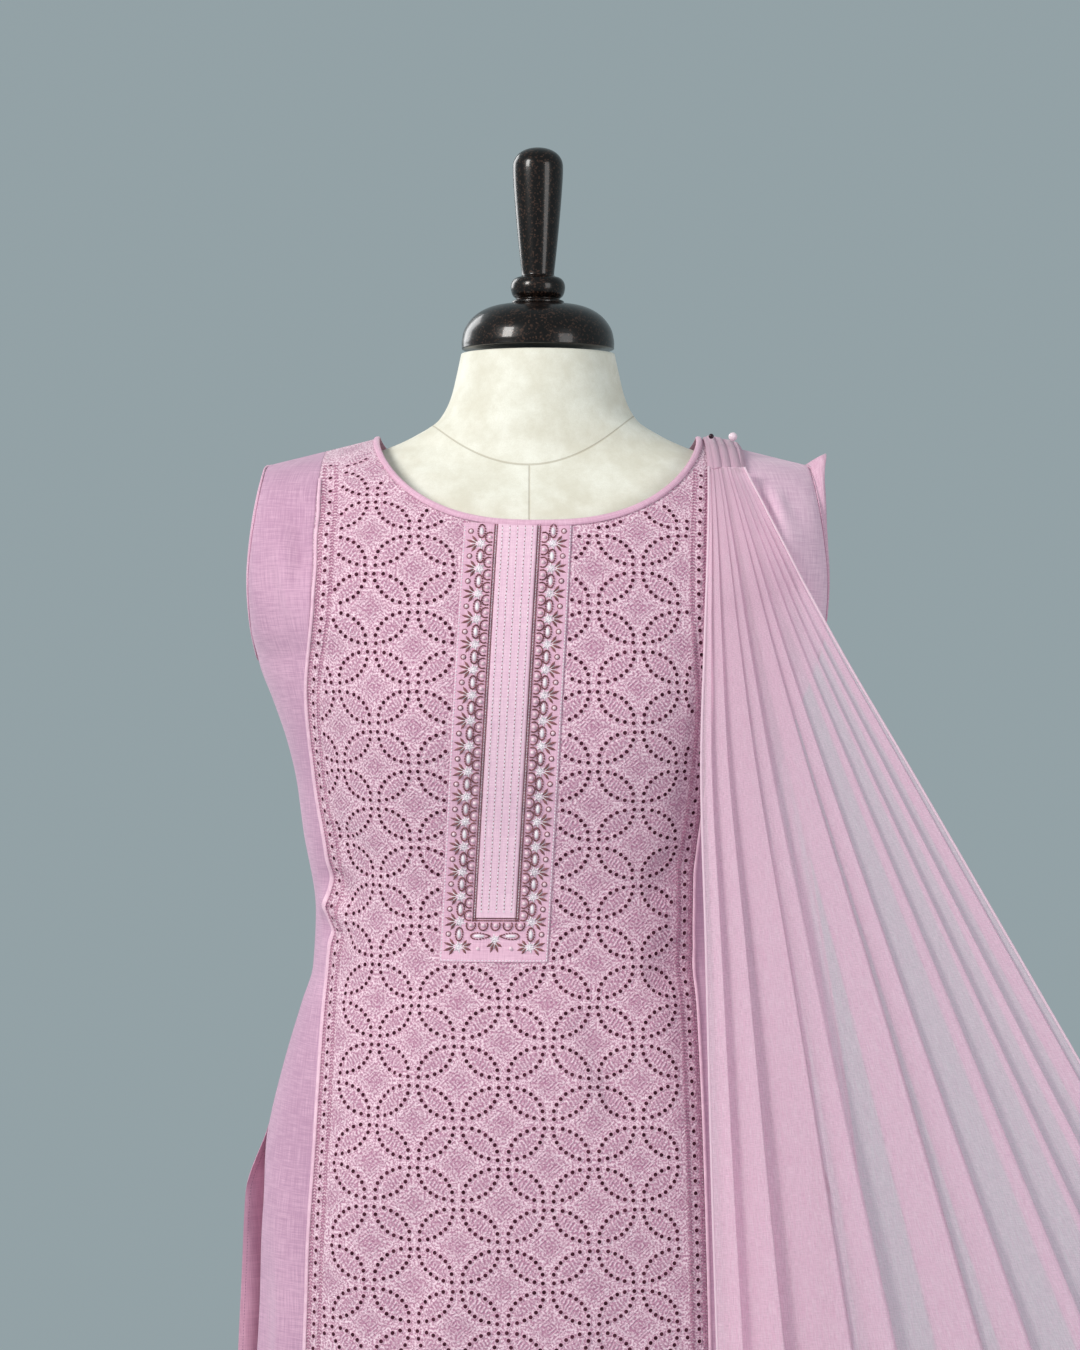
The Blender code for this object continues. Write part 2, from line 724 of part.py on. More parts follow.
def body_y(x, z, inset, front):
    """Y of the plain body section at z, a distance inside the kameez."""
    share = x / (smooth_value(SECTIONS, "half_width", z) - inset)
    if not front:
        return (smooth_value(SECTIONS, "back", z) - inset) * arch(share)
    across = math.exp(-(((abs(x) - BUST_X) / BUST_SPREAD_X) ** 2))
    mound = BUST_REACH * across * math.exp(-(((z - BUST_Z) / BUST_SPREAD_Z) ** 2))
    return -(smooth_value(SECTIONS, "front", z) - inset + mound) * arch(share)


def leg_grid(leg, columns, inner_columns, heights):
    """Points of a salwar leg. The first columns run from the front seam round the outer side
    to the back seam, and the inner ones, used below the crotch, run back to the front."""
    seam_x = CROTCH_X + leg.side * SEAM_GAP / 2
    grid = []
    for z in heights:
        inset = smooth_value(SALWAR_INSETS, "inset", z)
        half_width = smooth_value(SECTIONS, "half_width", z) - inset
        reach = half_width - leg.side * seam_x
        narrowing = min(max((CROTCH_Z - z) / (CROTCH_Z - CUFF_Z), 0.0), 1.0) ** 0.8
        row = []
        for c in range(columns + inner_columns):
            outer = c <= columns
            if outer:
                turn = math.pi * (c / columns - 0.5)
                x = seam_x + leg.side * reach * math.cos(turn)
                y = body_y(x, z, inset, turn < 0)
            else:
                back_to_front = (c - columns) / inner_columns
                turn = math.pi * (0.5 + back_to_front)
                x = seam_x
                y_back = body_y(x, z, inset, False)
                y = between(y_back, body_y(x, z, inset, True), back_to_front)
            cuff_x = leg.cuff_x + leg.side * leg.cuff_half_width * math.cos(turn)
            cuff_y = leg.cuff_half_depth * math.sin(turn)
            row.append((between(x, cuff_x, narrowing), between(y, cuff_y, narrowing), z))
        grid.append(row if leg.side > 0 else row[::-1])
    return np.array(grid)


def salwar(collection, finish):
    """Two legs and the band they hang from."""
    columns = 12
    inner_columns = 5
    below = np.linspace(CUFF_Z, CROTCH_Z, 8)
    above = np.linspace(CROTCH_Z, BAND_BOTTOM_Z, 8)[1:]
    heights = np.concatenate([below, above])
    total = columns + inner_columns
    for name, leg in LEGS.items():
        grid = leg_grid(leg, columns, inner_columns, heights)

        def above_crotch(r, c, side=leg.side):
            inner = c >= columns if side > 0 else c < inner_columns - 1 or c == total - 1
            return r >= len(below) - 1 and inner

        wall(name, grid, CLOTH, finish, collection, ring=True, leave_out=above_crotch)
    band = []
    for z in (BAND_BOTTOM_Z + BAND_GAP, (BAND_BOTTOM_Z + BAND_TOP_Z) / 2, BAND_TOP_Z):
        inset = smooth_value(SALWAR_INSETS, "inset", z)
        turns = [2 * math.pi * c / 32 for c in range(32)]
        band.append([body_point(turn, z, inset) for turn in turns])
    wall("salwar_waistband", np.array(band), CLOTH, finish, collection, ring=True)


def form_body(collection, finish):
    """The padded torso and neck, one closed solid."""
    around = 28
    rows = []
    for z in np.linspace(FORM_BOTTOM_Z, FORM_TOP[0].z, 15)[:-1]:
        inset = smooth_value(FORM_INSETS, "inset", z)
        rows.append([body_point(2 * math.pi * c / around, z, inset) for c in range(around)])
    for z in np.linspace(FORM_TOP[0].z, FORM_TOP[-1].z, 12):
        half_width, front, back, roundness = (
            smooth_value(FORM_TOP, column, z) for column in FormRow._fields[1:]
        )
        row = []
        for c in range(around):
            turn = 2 * math.pi * c / around
            depth = -front if math.cos(turn) > 0 else back
            x = half_width * math.sin(turn)
            row.append((x, depth * arch(math.sin(turn), roundness), z))
        rows.append(row)
    work = bmesh.new()
    mesh = grid_mesh("form_body", np.array(rows), ring=True)
    work.from_mesh(mesh)
    bmesh.ops.holes_fill(work, edges=[edge for edge in work.edges if edge.is_boundary])
    bmesh.ops.recalc_face_normals(work, faces=work.faces)
    work.to_mesh(mesh)
    work.free()
    mesh_object("form_body", mesh, finish, collection)


def stand(collection, iron, glossy):
    """What carries the form: the turned cap and finial, the pole, its hub and the base."""
    turned("neck_cap", CAP_PROFILE, glossy, collection)
    turned("finial", FINIAL_PROFILE, glossy, collection)
    pole_top = FORM_BOTTOM_Z - 0.0003
    hub_top = BASE_THICK + 0.0003 + HUB_HEIGHT
    pole = [
        (0.0, pole_top),
        (POLE_RADIUS, pole_top),
        (POLE_RADIUS, hub_top + 0.0003),
        (0.0, hub_top + 0.0003),
    ]
    turned("stand_pole", pole, iron, collection)
    hub = [
        (0.0, hub_top),
        (HUB_RADIUS * 0.62, hub_top),
        (HUB_RADIUS * 0.70, hub_top - 0.002),
        (HUB_RADIUS * 0.76, hub_top - 0.022),
        (HUB_RADIUS, BASE_THICK + 0.0063),
        (HUB_RADIUS, BASE_THICK + 0.0003),
        (0.0, BASE_THICK + 0.0003),
    ]
    turned("stand_hub", hub, iron, collection, steps=32)
    base = [
        (0.0, BASE_THICK),
        (BASE_RADIUS - 0.012, BASE_THICK),
        (BASE_RADIUS - 0.004, BASE_THICK - 0.0015),
        (BASE_RADIUS, BASE_THICK - 0.0045),
        (BASE_RADIUS, 0.0015),
        (BASE_RADIUS - 0.0015, 0.0),
        (0.0, 0.0),
    ]
    turned("stand_base", base, iron, collection, steps=48)


def main():
    clear_scene()
    parts = new_collection("Salwar kameez suit")
    lace = material("Eyelet lawn", (0.76, 0.45, 0.60), 0.85)
    lawn = material("Lawn", (0.70, 0.40, 0.55), 0.85)
    panels = kameez(parts, lace, lawn)
    seam_pipings(parts, panels, material("Piping", (0.82, 0.60, 0.70), 0.8))
    border = material("Placket embroidery", (0.32, 0.17, 0.16), 0.7)
    placket(parts, panels, border, material("Placket strip", (0.74, 0.42, 0.57), 0.85))
    neck_binding(parts, panels, material("Neck binding", (0.74, 0.44, 0.58), 0.85))
    armhole_bands(parts, panels, material("Armhole band", (0.72, 0.42, 0.56), 0.85))
    dupatta(parts, panels, material("Chiffon", (0.80, 0.52, 0.67), 0.75))
    heads = {
        "pin_pearl": material("Pearl", (0.90, 0.82, 0.84), 0.25),
        "pin_dark": material("Pin head", (0.06, 0.03, 0.05), 0.35),
    }
    pins(parts, heads)
    salwar(parts, material("Salwar lawn", (0.70, 0.40, 0.55), 0.85))
    form_body(parts, material("Form cloth", (0.80, 0.76, 0.66), 0.9))
    iron = material("Iron", (0.03, 0.03, 0.035), 0.45, 0.8)
    stand(parts, iron, material("Flaked lacquer", (0.03, 0.02, 0.02), 0.25, 0.3))


main()
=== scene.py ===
"""Looks of a salwar kameez suit on its dress form.

Everything is in metres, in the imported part's frame: +Z up, the garment's front faces -Y, and
+X is the wearer's left. The cloth shells lie on the same sections as the part's cloth solids.
"""

import math
from collections import namedtuple

import bpy
import numpy as np
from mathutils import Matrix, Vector


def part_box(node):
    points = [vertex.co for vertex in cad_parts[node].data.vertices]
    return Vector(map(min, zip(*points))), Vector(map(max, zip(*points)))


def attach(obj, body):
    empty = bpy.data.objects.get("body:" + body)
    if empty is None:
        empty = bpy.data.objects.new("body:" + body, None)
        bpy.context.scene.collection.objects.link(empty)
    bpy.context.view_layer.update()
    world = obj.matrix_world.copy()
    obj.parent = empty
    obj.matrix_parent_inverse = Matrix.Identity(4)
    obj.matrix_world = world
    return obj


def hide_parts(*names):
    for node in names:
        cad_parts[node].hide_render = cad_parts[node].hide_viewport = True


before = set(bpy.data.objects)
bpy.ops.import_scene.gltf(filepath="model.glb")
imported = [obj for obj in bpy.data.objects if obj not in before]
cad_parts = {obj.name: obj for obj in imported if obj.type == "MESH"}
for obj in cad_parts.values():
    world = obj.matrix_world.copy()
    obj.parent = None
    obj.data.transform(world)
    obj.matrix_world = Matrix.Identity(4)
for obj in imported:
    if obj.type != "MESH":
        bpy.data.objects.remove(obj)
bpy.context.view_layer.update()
rng = np.random.default_rng(7)

# ---------------------------------------------------------------- the garment's sections

HEM_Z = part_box("front_centre_panel")[0][2]
SLIT_TOP_Z = 0.925
UNDERARM_Z = 1.255
SHOULDER_Z = 1.420
NECK_POINT_X = 0.116
SHOULDER_TIP_X = 0.198
SHOULDER_DROP = 0.021
SHOULDER_Y = 0.010
FRONT_SCOOP = 0.066
BACK_SCOOP = 0.034
ROUNDNESS = 2.3
SHELL = 0.0006
SHELL_INSET = 0.0003
# Below its top, a side slit's front edge is held back and its back edge spreads out and lies flat
SLIT_SPREAD = 0.0095
SLIT_EASE = 0.06
SLIT_BACK_Y = 0.048
SLIT_BACK_EASE = 0.14
SLIT_BACK_BEND = 0.010
SLIT_BACK_REACH = 0.030
# The salwar's waistband, under the kameez
BAND_BOTTOM_Z = 0.950
BAND_TOP_Z = 0.995

Section = namedtuple("Section", "z half_width front back edge_front edge_back")
SECTIONS = [
    Section(0.400, 0.222, 0.152, 0.168, -0.012, 0.012),
    Section(0.600, 0.218, 0.150, 0.164, -0.010, 0.010),
    Section(0.754, 0.213, 0.147, 0.158, -0.008, 0.008),
    Section(0.863, 0.206, 0.143, 0.150, -0.005, 0.005),
    Section(0.925, 0.195, 0.138, 0.139, 0.000, 0.000),
    Section(0.969, 0.184, 0.131, 0.124, 0.000, 0.000),
    Section(1.009, 0.172, 0.122, 0.109, 0.000, 0.000),
    Section(1.035, 0.164, 0.116, 0.099, 0.000, 0.000),
    Section(1.075, 0.162, 0.113, 0.091, 0.000, 0.000),
    Section(1.133, 0.171, 0.121, 0.093, 0.000, 0.000),
    Section(1.170, 0.176, 0.128, 0.098, 0.000, 0.000),
    Section(1.199, 0.183, 0.131, 0.104, 0.000, 0.000),
    Section(1.228, 0.193, 0.132, 0.109, 0.000, 0.000),
    Section(1.255, 0.203, 0.130, 0.113, -0.001, 0.001),
    Section(1.280, 0.207, 0.127, 0.116, -0.025, 0.025),
    Section(1.310, 0.208, 0.120, 0.117, -0.044, 0.042),
    Section(1.340, 0.206, 0.108, 0.113, -0.050, 0.050),
    Section(1.373, 0.202, 0.088, 0.098, -0.044, 0.048),
    Section(1.395, 0.199, 0.066, 0.076, -0.030, 0.038),
    Section(1.410, 0.198, 0.038, 0.050, -0.012, 0.026),
    Section(1.420, 0.198, -0.010, 0.010, 0.010, 0.010),
]
Seam = namedtuple("Seam", "z right left")
SEAMS = [
    Seam(0.400, -0.170, 0.124),
    Seam(0.754, -0.164, 0.120),
    Seam(0.921, -0.157, 0.116),
    Seam(1.002, -0.153, 0.113),
    Seam(1.065, -0.149, 0.110),
    Seam(1.107, -0.150, 0.111),
    Seam(1.171, -0.159, 0.118),
    Seam(1.232, -0.164, 0.122),
    Seam(1.298, -0.158, 0.120),
    Seam(1.420, -0.155, 0.125),
]
BUST_X = 0.082
BUST_Z = 1.212
BUST_REACH = 0.012
BUST_SPREAD_X = 0.050
BUST_SPREAD_Z = 0.058
Flute = namedtuple("Flute", "at width depth")
FLUTES_FRONT = [
    Flute(-0.62, 0.13, 0.007),
    Flute(-0.22, 0.16, -0.004),
    Flute(0.18, 0.12, 0.006),
    Flute(0.55, 0.17, -0.005),
]
FLUTES_BACK = [
    Flute(-0.50, 0.15, 0.010),
    Flute(-0.05, 0.14, 0.008),
    Flute(0.45, 0.16, 0.011),
]

# Creases, as soft troughs (depth below 0) or ridges along a line from one place to another
CREASE_WIDEN = 1.6
CREASE_DEEPEN = 1.9
DEEPEST_TROUGH = 0.020
DEEPEST_BY_BAND = 0.0020
Crease = namedtuple("Crease", "x0 z0 x1 z1 width depth")
CREASES_FRONT = [
    Crease(-0.088, 1.040, -0.128, 0.905, 0.0110, -0.0028),
    Crease(-0.070, 1.035, -0.108, 0.925, 0.0130, 0.0022),
    Crease(0.026, 1.030, 0.068, 0.925, 0.0110, -0.0022),
    Crease(0.008, 1.034, 0.046, 0.930, 0.0130, 0.0018),
    Crease(-0.146, 1.150, -0.118, 1.090, 0.0080, -0.0020),
    Crease(-0.158, 1.112, -0.120, 1.075, 0.0070, -0.0022),
    Crease(-0.160, 1.092, -0.132, 1.068, 0.0050, 0.0020),
    Crease(-0.161, 1.070, -0.128, 1.052, 0.0060, -0.0018),
    Crease(0.100, 1.130, 0.076, 1.078, 0.0080, -0.0016),
    Crease(0.104, 1.060, 0.078, 1.020, 0.0090, -0.0018),
    Crease(-0.092, 0.900, -0.089, 0.760, 0.0140, -0.0024),
    Crease(-0.060, 0.880, -0.064, 0.560, 0.0180, 0.0018),
    Crease(0.050, 0.860, 0.060, 0.520, 0.0160, -0.0020),
    Crease(-0.128, 0.960, -0.134, 0.780, 0.0100, 0.0016),
    Crease(-0.150, 1.395, -0.142, 1.345, 0.0070, -0.0018),
    Crease(-0.174, 1.380, -0.160, 1.300, 0.0080, -0.0020),
    Crease(-0.186, 1.360, -0.170, 1.270, 0.0060, 0.0016),
    Crease(0.150, 1.392, 0.162, 1.340, 0.0070, -0.0022),
    Crease(0.168, 1.386, 0.178, 1.320, 0.0060, 0.0018),
    Crease(-0.178, 0.910, -0.186, 0.640, 0.0090, 0.0026),
    Crease(-0.192, 0.890, -0.200, 0.560, 0.0080, -0.0022),
    Crease(-0.168, 1.060, -0.152, 1.088, 0.0040, 0.0022),
    Crease(0.170, 0.900, 0.176, 0.560, 0.0110, 0.0024),
]
CREASES_BACK = [
    Crease(-0.010, 1.080, -0.100, 1.130, 0.0100, -0.0026),
    Crease(0.020, 1.062, 0.110, 1.100, 0.0090, -0.0024),
    Crease(-0.030, 1.045, -0.130, 1.060, 0.0090, 0.0024),
    Crease(0.040, 1.035, 0.135, 1.030, 0.0080, -0.0022),
    Crease(-0.020, 1.020, -0.120, 0.980, 0.0110, -0.0024),
    Crease(0.090, 1.360, 0.140, 1.260, 0.0120, -0.0024),
    Crease(-0.090, 1.360, -0.150, 1.270, 0.0110, -0.0022),
    Crease(-0.060, 0.940, -0.075, 0.520, 0.0160, 0.0034),
    Crease(0.052, 0.930, 0.060, 0.500, 0.0150, -0.0030),
    Crease(0.140, 0.900, 0.155, 0.480, 0.0140, 0.0032),
    Crease(-0.150, 0.900, -0.160, 0.500, 0.0140, -0.0028),
]


class Curve:
    """A smooth curve through one column of a table, which doesn't overshoot its rows."""

    def __init__(self, table, column):
        rows = sorted(table, key=lambda row: row.z)
        self.z = np.array([row.z for row in rows])
        self.values = np.array([getattr(row, column) for row in rows])
        self.steps = np.diff(self.z)
        slopes = np.diff(self.values) / self.steps
        tangents = np.concatenate([slopes[:1], np.zeros(len(slopes) - 1), slopes[-1:]])
        for i in range(1, len(slopes)):
            if slopes[i - 1] * slopes[i] > 0:
                both = slopes[i - 1] + slopes[i]
                tangents[i] = 2 * slopes[i - 1] * slopes[i] / both
        self.tangents = tangents

    def __call__(self, z):
        z = np.clip(z, self.z[0], self.z[-1])
        i = np.clip(np.searchsorted(self.z, z, side="right") - 1, 0, len(self.steps) - 1)
        t = (z - self.z[i]) / self.steps[i]
        low, high = self.values[i], self.values[i + 1]
        low_slope = self.tangents[i] * self.steps[i]
        high_slope = self.tangents[i + 1] * self.steps[i]
        return (
            (2 * t**3 - 3 * t**2 + 1) * low
            + (t**3 - 2 * t**2 + t) * low_slope
            + (3 * t**2 - 2 * t**3) * high
            + (t**3 - t**2) * high_slope
        )


def curves(table):
    """A curve for each column of a table but its z."""
    return {name: Curve(table, name) for name in table[0]._fields if name != "z"}


SECTION = curves(SECTIONS)
SEAM = curves(SEAMS)


def between(a, b, t):
    return a + (b - a) * t


def smooth(t):
    t = np.clip(t, 0.0, 1.0)
    return t * t * (3 - 2 * t)


def shoulder_line(x):
    """Height of the shoulder seam at x."""
    return SHOULDER_Z - SHOULDER_DROP * (np.abs(x) - NECK_POINT_X) / (
        SHOULDER_TIP_X - NECK_POINT_X
    )


def arch(share, roundness=ROUNDNESS):
    """Depth of a section at a share of its half width, as a share of its greatest depth."""
    return np.maximum(0.0, 1.0 - np.minimum(np.abs(share), 1.0) ** roundness) ** (
        1.0 / roundness
    )


def mound(x, z):
    """How far the bust stands out at x and z."""
    across = np.exp(-(((np.abs(x) - BUST_X) / BUST_SPREAD_X) ** 2))
    return BUST_REACH * across * np.exp(-(((z - BUST_Z) / BUST_SPREAD_Z) ** 2))


def flute(flutes, share, z):
    """How far the skirt's flutes stand out."""
    grown = np.clip((SLIT_TOP_Z - z) / (SLIT_TOP_Z - HEM_Z), 0.0, 1.0)
    return grown * sum(f.depth * np.exp(-(((share - f.at) / f.width) ** 2)) for f in flutes)


def garment_y(x, z, front):
    """Y of the garment's outer surface at x and z, on its front or its back."""
    x, z = np.broadcast_arrays(np.asarray(x, float), np.asarray(z, float))
    share = x / SECTION["half_width"](z)
    rise = np.clip((z - UNDERARM_Z) / (SHOULDER_Z - UNDERARM_Z), 0.0, None)
    past = np.maximum(np.abs(x), 0.6 * NECK_POINT_X)
    lifted = z + (SHOULDER_Z - shoulder_line(past)) * rise
    side = "front" if front else "back"
    depth = SECTION[side](lifted) * (-1.0 if front else 1.0)
    edge = SECTION["edge_" + side](lifted)
    if front:
        y = edge + (depth - edge - mound(x, z)) * arch(share) - flute(FLUTES_FRONT, share, z)
        return np.minimum(y, SHOULDER_Y - 0.0001)
    y = edge + (depth - edge) * arch(share) + flute(FLUTES_BACK, share, z)
    parted = smooth((SLIT_TOP_Z - z) / SLIT_BACK_EASE)
    least = SLIT_BACK_Y * parted
    y = (y + least + np.hypot(y - least, SLIT_BACK_BEND * parted)) / 2
    return np.where(z > SHOULDER_Z - 2 * SHOULDER_DROP, np.maximum(y, SHOULDER_Y + 0.0001), y)


def neck_curve(across):
    return (1.0 - np.minimum(np.abs(across), 1.0) ** 2.6) ** 0.62


def neckline(x, front):
    """Height of the neck's edge at x, or the shoulder line outside the neck."""
    scoop = FRONT_SCOOP if front else BACK_SCOOP
    inside = SHOULDER_Z - scoop * neck_curve(x / NECK_POINT_X)
    return np.where(np.abs(x) >= NECK_POINT_X, shoulder_line(x), inside)


def crease_rise(creases, x, z):
    """How far the creases lift the cloth at x and z."""
    total = np.zeros_like(x)
    for c in creases:
        run = np.array([c.x1 - c.x0, c.z1 - c.z0])
        length = np.hypot(*run)
        along = ((x - c.x0) * run[0] + (z - c.z0) * run[1]) / length**2
        off = np.abs((x - c.x0) * run[1] - (z - c.z0) * run[0]) / length
        wander = CREASE_WIDEN * c.width * (1.0 + 0.4 * np.sin(along * 5.0 + c.x0 * 60))
        ends = smooth(along / 0.35) * smooth((1.0 - along) / 0.35)
        total += CREASE_DEEPEN * c.depth * ends * np.exp(-((off / wander) ** 2))
    # The salwar's band lies close under the cloth, and troughs stay clear of it
    near_band = smooth((z - BAND_BOTTOM_Z + 0.05) / 0.04) * smooth((BAND_TOP_Z + 0.05 - z) / 0.04)
    deepest = between(DEEPEST_TROUGH, DEEPEST_BY_BAND, near_band)
    return np.where(total < 0, deepest * np.tanh(total / deepest), total)


# ---------------------------------------------------------------- meshes from grids


def grid_normals(grid, ring=False):
    """Unit normals of a grid of points. A ring's rows close on themselves."""
    if ring:
        across = np.roll(grid, -1, axis=1) - np.roll(grid, 1, axis=1)
    else:
        across = np.gradient(grid, axis=1)
    normals = np.cross(across, np.gradient(grid, axis=0))
    return normals / np.maximum(np.linalg.norm(normals, axis=2, keepdims=True), 1e-12)


def grid_faces(rows, columns, ring=False):
    """Corner numbers of a grid's faces."""
    r, c = np.meshgrid(np.arange(rows - 1), np.arange(columns if ring else columns - 1))
    r, c = r.T.ravel(), c.T.ravel()
    d = (c + 1) % columns
    faces = np.stack([r * columns + c, r * columns + d, (r + 1) * columns + d], axis=1)
    return np.column_stack([faces, (r + 1) * columns + c])


def pairs(a, b):
    """Two values for each point, from arrays that broadcast."""
    return np.stack(np.broadcast_arrays(a, b), axis=-1)


def new_object(name, points, faces, finish, uv=None, uv_more=None, smooth_shade=True):
    """A mesh object from arrays of points and faces, with UVs given a point each."""
    mesh = bpy.data.meshes.new(name)
    faces = faces.tolist() if isinstance(faces, np.ndarray) else faces
    mesh.from_pydata(np.asarray(points).tolist(), [], faces)
    corners = np.empty(len(mesh.loops), np.int32)
    mesh.loops.foreach_get("vertex_index", corners)
    for layer_name, values in (("cloth", uv), ("edges", uv_more)):
        if values is not None:
            layer = mesh.uv_layers.new(name=layer_name)
            layer.data.foreach_set("uv", np.asarray(values, np.float32)[corners].ravel())
    for one in finish if isinstance(finish, list) else [finish]:
        mesh.materials.append(one)
    mesh.update()
    if smooth_shade:
        mesh.shade_smooth()
    obj = bpy.data.objects.new(name, mesh)
    bpy.context.scene.collection.objects.link(obj)
    return obj


def thickened(obj, thickness):
    shell = obj.modifiers.new("Cloth", "SOLIDIFY")
    shell.thickness = thickness
    shell.offset = -1.0
    return obj


def grid_object(name, grid, finish, uv=None, uv_more=None, ring=False, thickness=SHELL):
    """A cloth shell through a grid of points."""
    rows, columns = grid.shape[:2]
    flat_uv = None if uv is None else uv.reshape(-1, 2)
    flat_more = None if uv_more is None else uv_more.reshape(-1, 2)
    faces = grid_faces(rows, columns, ring)
    obj = new_object(name, grid.reshape(-1, 3), faces, finish, flat_uv, flat_more)
    return thickened(obj, thickness) if thickness else obj


def part(obj, slot, *nodes):
    """Ties a piece to the part: it rides on the only body and stands for its CAD nodes."""
    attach(obj, "root")
    if nodes:
        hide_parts(*nodes)
    return obj


# ---------------------------------------------------------------- places on the garment


def surface(x, z, front=True):
    """Points of the creased surface at x and z."""
    x, z = np.broadcast_arrays(np.asarray(x, float), np.asarray(z, float))
    step = 0.0004
    y = garment_y(x, z, front)
    slope_x = (garment_y(x + step, z, front) - garment_y(x - step, z, front)) / (2 * step)
    slope_z = (garment_y(x, z + step, front) - garment_y(x, z - step, front)) / (2 * step)
    slope_z = np.where(z > neckline(x, front) - 0.002, 0.0, slope_z)
    out = np.stack([slope_x, -np.ones_like(x), slope_z], axis=-1)
    out /= np.linalg.norm(out, axis=-1, keepdims=True)
    if not front:
        out = -out
    rise = crease_rise(CREASES_FRONT if front else CREASES_BACK, x, z)
    fade = smooth((shoulder_line(x) - z) / 0.03)
    fade = fade * smooth((SECTION["half_width"](z) - np.abs(x)) / 0.012)
    return np.stack([x, y, z], axis=-1) + out * (rise * fade)[..., None]


def axes(x, z, front=True):
    """Points of the surface at x and z, and the unit vectors across, up and out of it."""
    step = 0.0006
    across = surface(x + step, z, front) - surface(x - step, z, front)
    up = surface(x, z + step, front) - surface(x, z - step, front)
    across /= np.linalg.norm(across, axis=-1, keepdims=True)
    out = np.cross(across, up)
    out /= np.linalg.norm(out, axis=-1, keepdims=True)
    return surface(x, z, front), across, np.cross(out, across), out if front else -out


def raised(x, z, lift, front=True):
    """Points a lift above the surface at x and z."""
    points, _, _, out = axes(x, z, front)
    return points + out * np.broadcast_to(lift, points.shape[:-1])[..., None]


class Chart:
    """Lengths along the front's cloth: u across from the middle, and v up from the hem."""

    def __init__(self, middle_x, line_x):
        self.x = np.linspace(-0.25, 0.25, 251)
        self.z = np.linspace(HEM_Z - 0.001, SHOULDER_Z, 320)
        y = garment_y(self.x[None, :], self.z[:, None], True)
        steps = np.hypot(np.diff(self.x)[None, :], np.diff(y, axis=1))
        lengths = np.concatenate([np.zeros((len(self.z), 1)), np.cumsum(steps, axis=1)], axis=1)
        self.table = lengths
        middle = self.across(np.full(len(self.z), middle_x), self.z)
        self.table = lengths - middle[:, None]
        line = garment_y(np.full(len(self.z), line_x), self.z, True)
        run = np.hypot(np.diff(self.z), np.diff(line))
        self.up = np.concatenate([[0.0], np.cumsum(run)])

    def across(self, x, z):
        row = np.clip((z - self.z[0]) / (self.z[1] - self.z[0]), 0, len(self.z) - 1.001)
        column = np.clip((x - self.x[0]) / (self.x[1] - self.x[0]), 0, len(self.x) - 1.001)
        i, j = row.astype(int), column.astype(int)
        f, g = row - i, column - j
        low = between(self.table[i, j], self.table[i, j + 1], g)
        return between(low, between(self.table[i + 1, j], self.table[i + 1, j + 1], g), f)

    def lengths(self, x, z):
        """u and v at x and z."""
        return self.across(x, z), np.interp(z, self.z, self.up)

    def place(self, u, v):
        """x and z at u and v."""
        z = np.interp(v, self.up, self.z)
        x = np.clip(u, -0.2, 0.2)
        for _ in range(30):
            x = np.clip(x + 0.6 * (u - self.across(x, z)), -0.24, 0.24)
        return x, z


CHART = Chart(middle_x=-0.020, line_x=0.090)


def panel(first, last, front, top_x, low_rows, high_rows):
    """x and z of a panel's points, hem to shoulder. first and last give x at its edges."""
    t = np.linspace(0, 1, len(top_x))[None, :]
    low = np.linspace(HEM_Z, UNDERARM_Z, low_rows + 1)[:-1]
    high = 1 - (1 - np.linspace(0, 1, high_rows)) ** 1.6
    rise = np.concatenate([np.zeros(low_rows), high])[:, None]
    level = np.concatenate([low, np.full(high_rows, UNDERARM_Z)])[:, None]
    top_z = neckline(top_x, front)[None, :]
    z = level + rise * (top_z - UNDERARM_Z)
    half_width = SECTION["half_width"](z)
    turns = [np.arcsin(np.clip(edge(z) / half_width, -1, 1)) for edge in (first, last)]
    top_share = top_x[None, :] / SECTION["half_width"](top_z)
    share = between(np.sin(between(turns[0], turns[1], t)), top_share, rise)
    return half_width * np.clip(share, -1, 1), z


# ---------------------------------------------------------------- many small things at once


class Work:
    """Many small things joined in one mesh, each with one of the mesh's finishes."""

    def __init__(self):
        self.points, self.faces, self.finish = [], [], []
        self.count = 0

    def add(self, points, faces, finish=0):
        points = points.reshape(-1, 3)
        self.points.append(points)
        self.faces.append(faces + self.count)
        self.finish.append(np.full(len(faces), finish))
        self.count += len(points)

    def scatter(self, template, places, a, b, c, finish=0):
        """Copies of a template at the places. a, b and c are the copies' three axes, with
        their lengths."""
        points, faces = template
        copies = places[:, None, :]
        for axis, column in ((a, 0), (b, 1), (c, 2)):
            copies = copies + points[None, :, column, None] * axis[:, None, :]
        offsets = np.arange(len(places))[:, None, None] * len(points)
        self.add(copies, (faces[None] + offsets).reshape(-1, 4), finish)

    def object(self, name, finishes):
        """One object of all that was added. A face that names a point twice is a triangle."""
        faces = [tuple(dict.fromkeys(face)) for face in np.concatenate(self.faces).tolist()]
        obj = new_object(name, np.concatenate(self.points), faces, finishes)
        finish = np.concatenate(self.finish).astype(np.int32)
        obj.data.polygons.foreach_set("material_index", finish)
        obj.data.update()
        return obj


def turned_template(rows, sides):
    """A template from (radius, height) rows, turned about its third axis."""
    turn = 2 * np.pi * np.arange(sides) / sides
    grid = [
        np.stack([r * np.cos(turn), r * np.sin(turn), np.full(sides, h)], axis=1)
        for r, h in rows
    ]
    return np.concatenate(grid), grid_faces(len(rows), sides, ring=True)


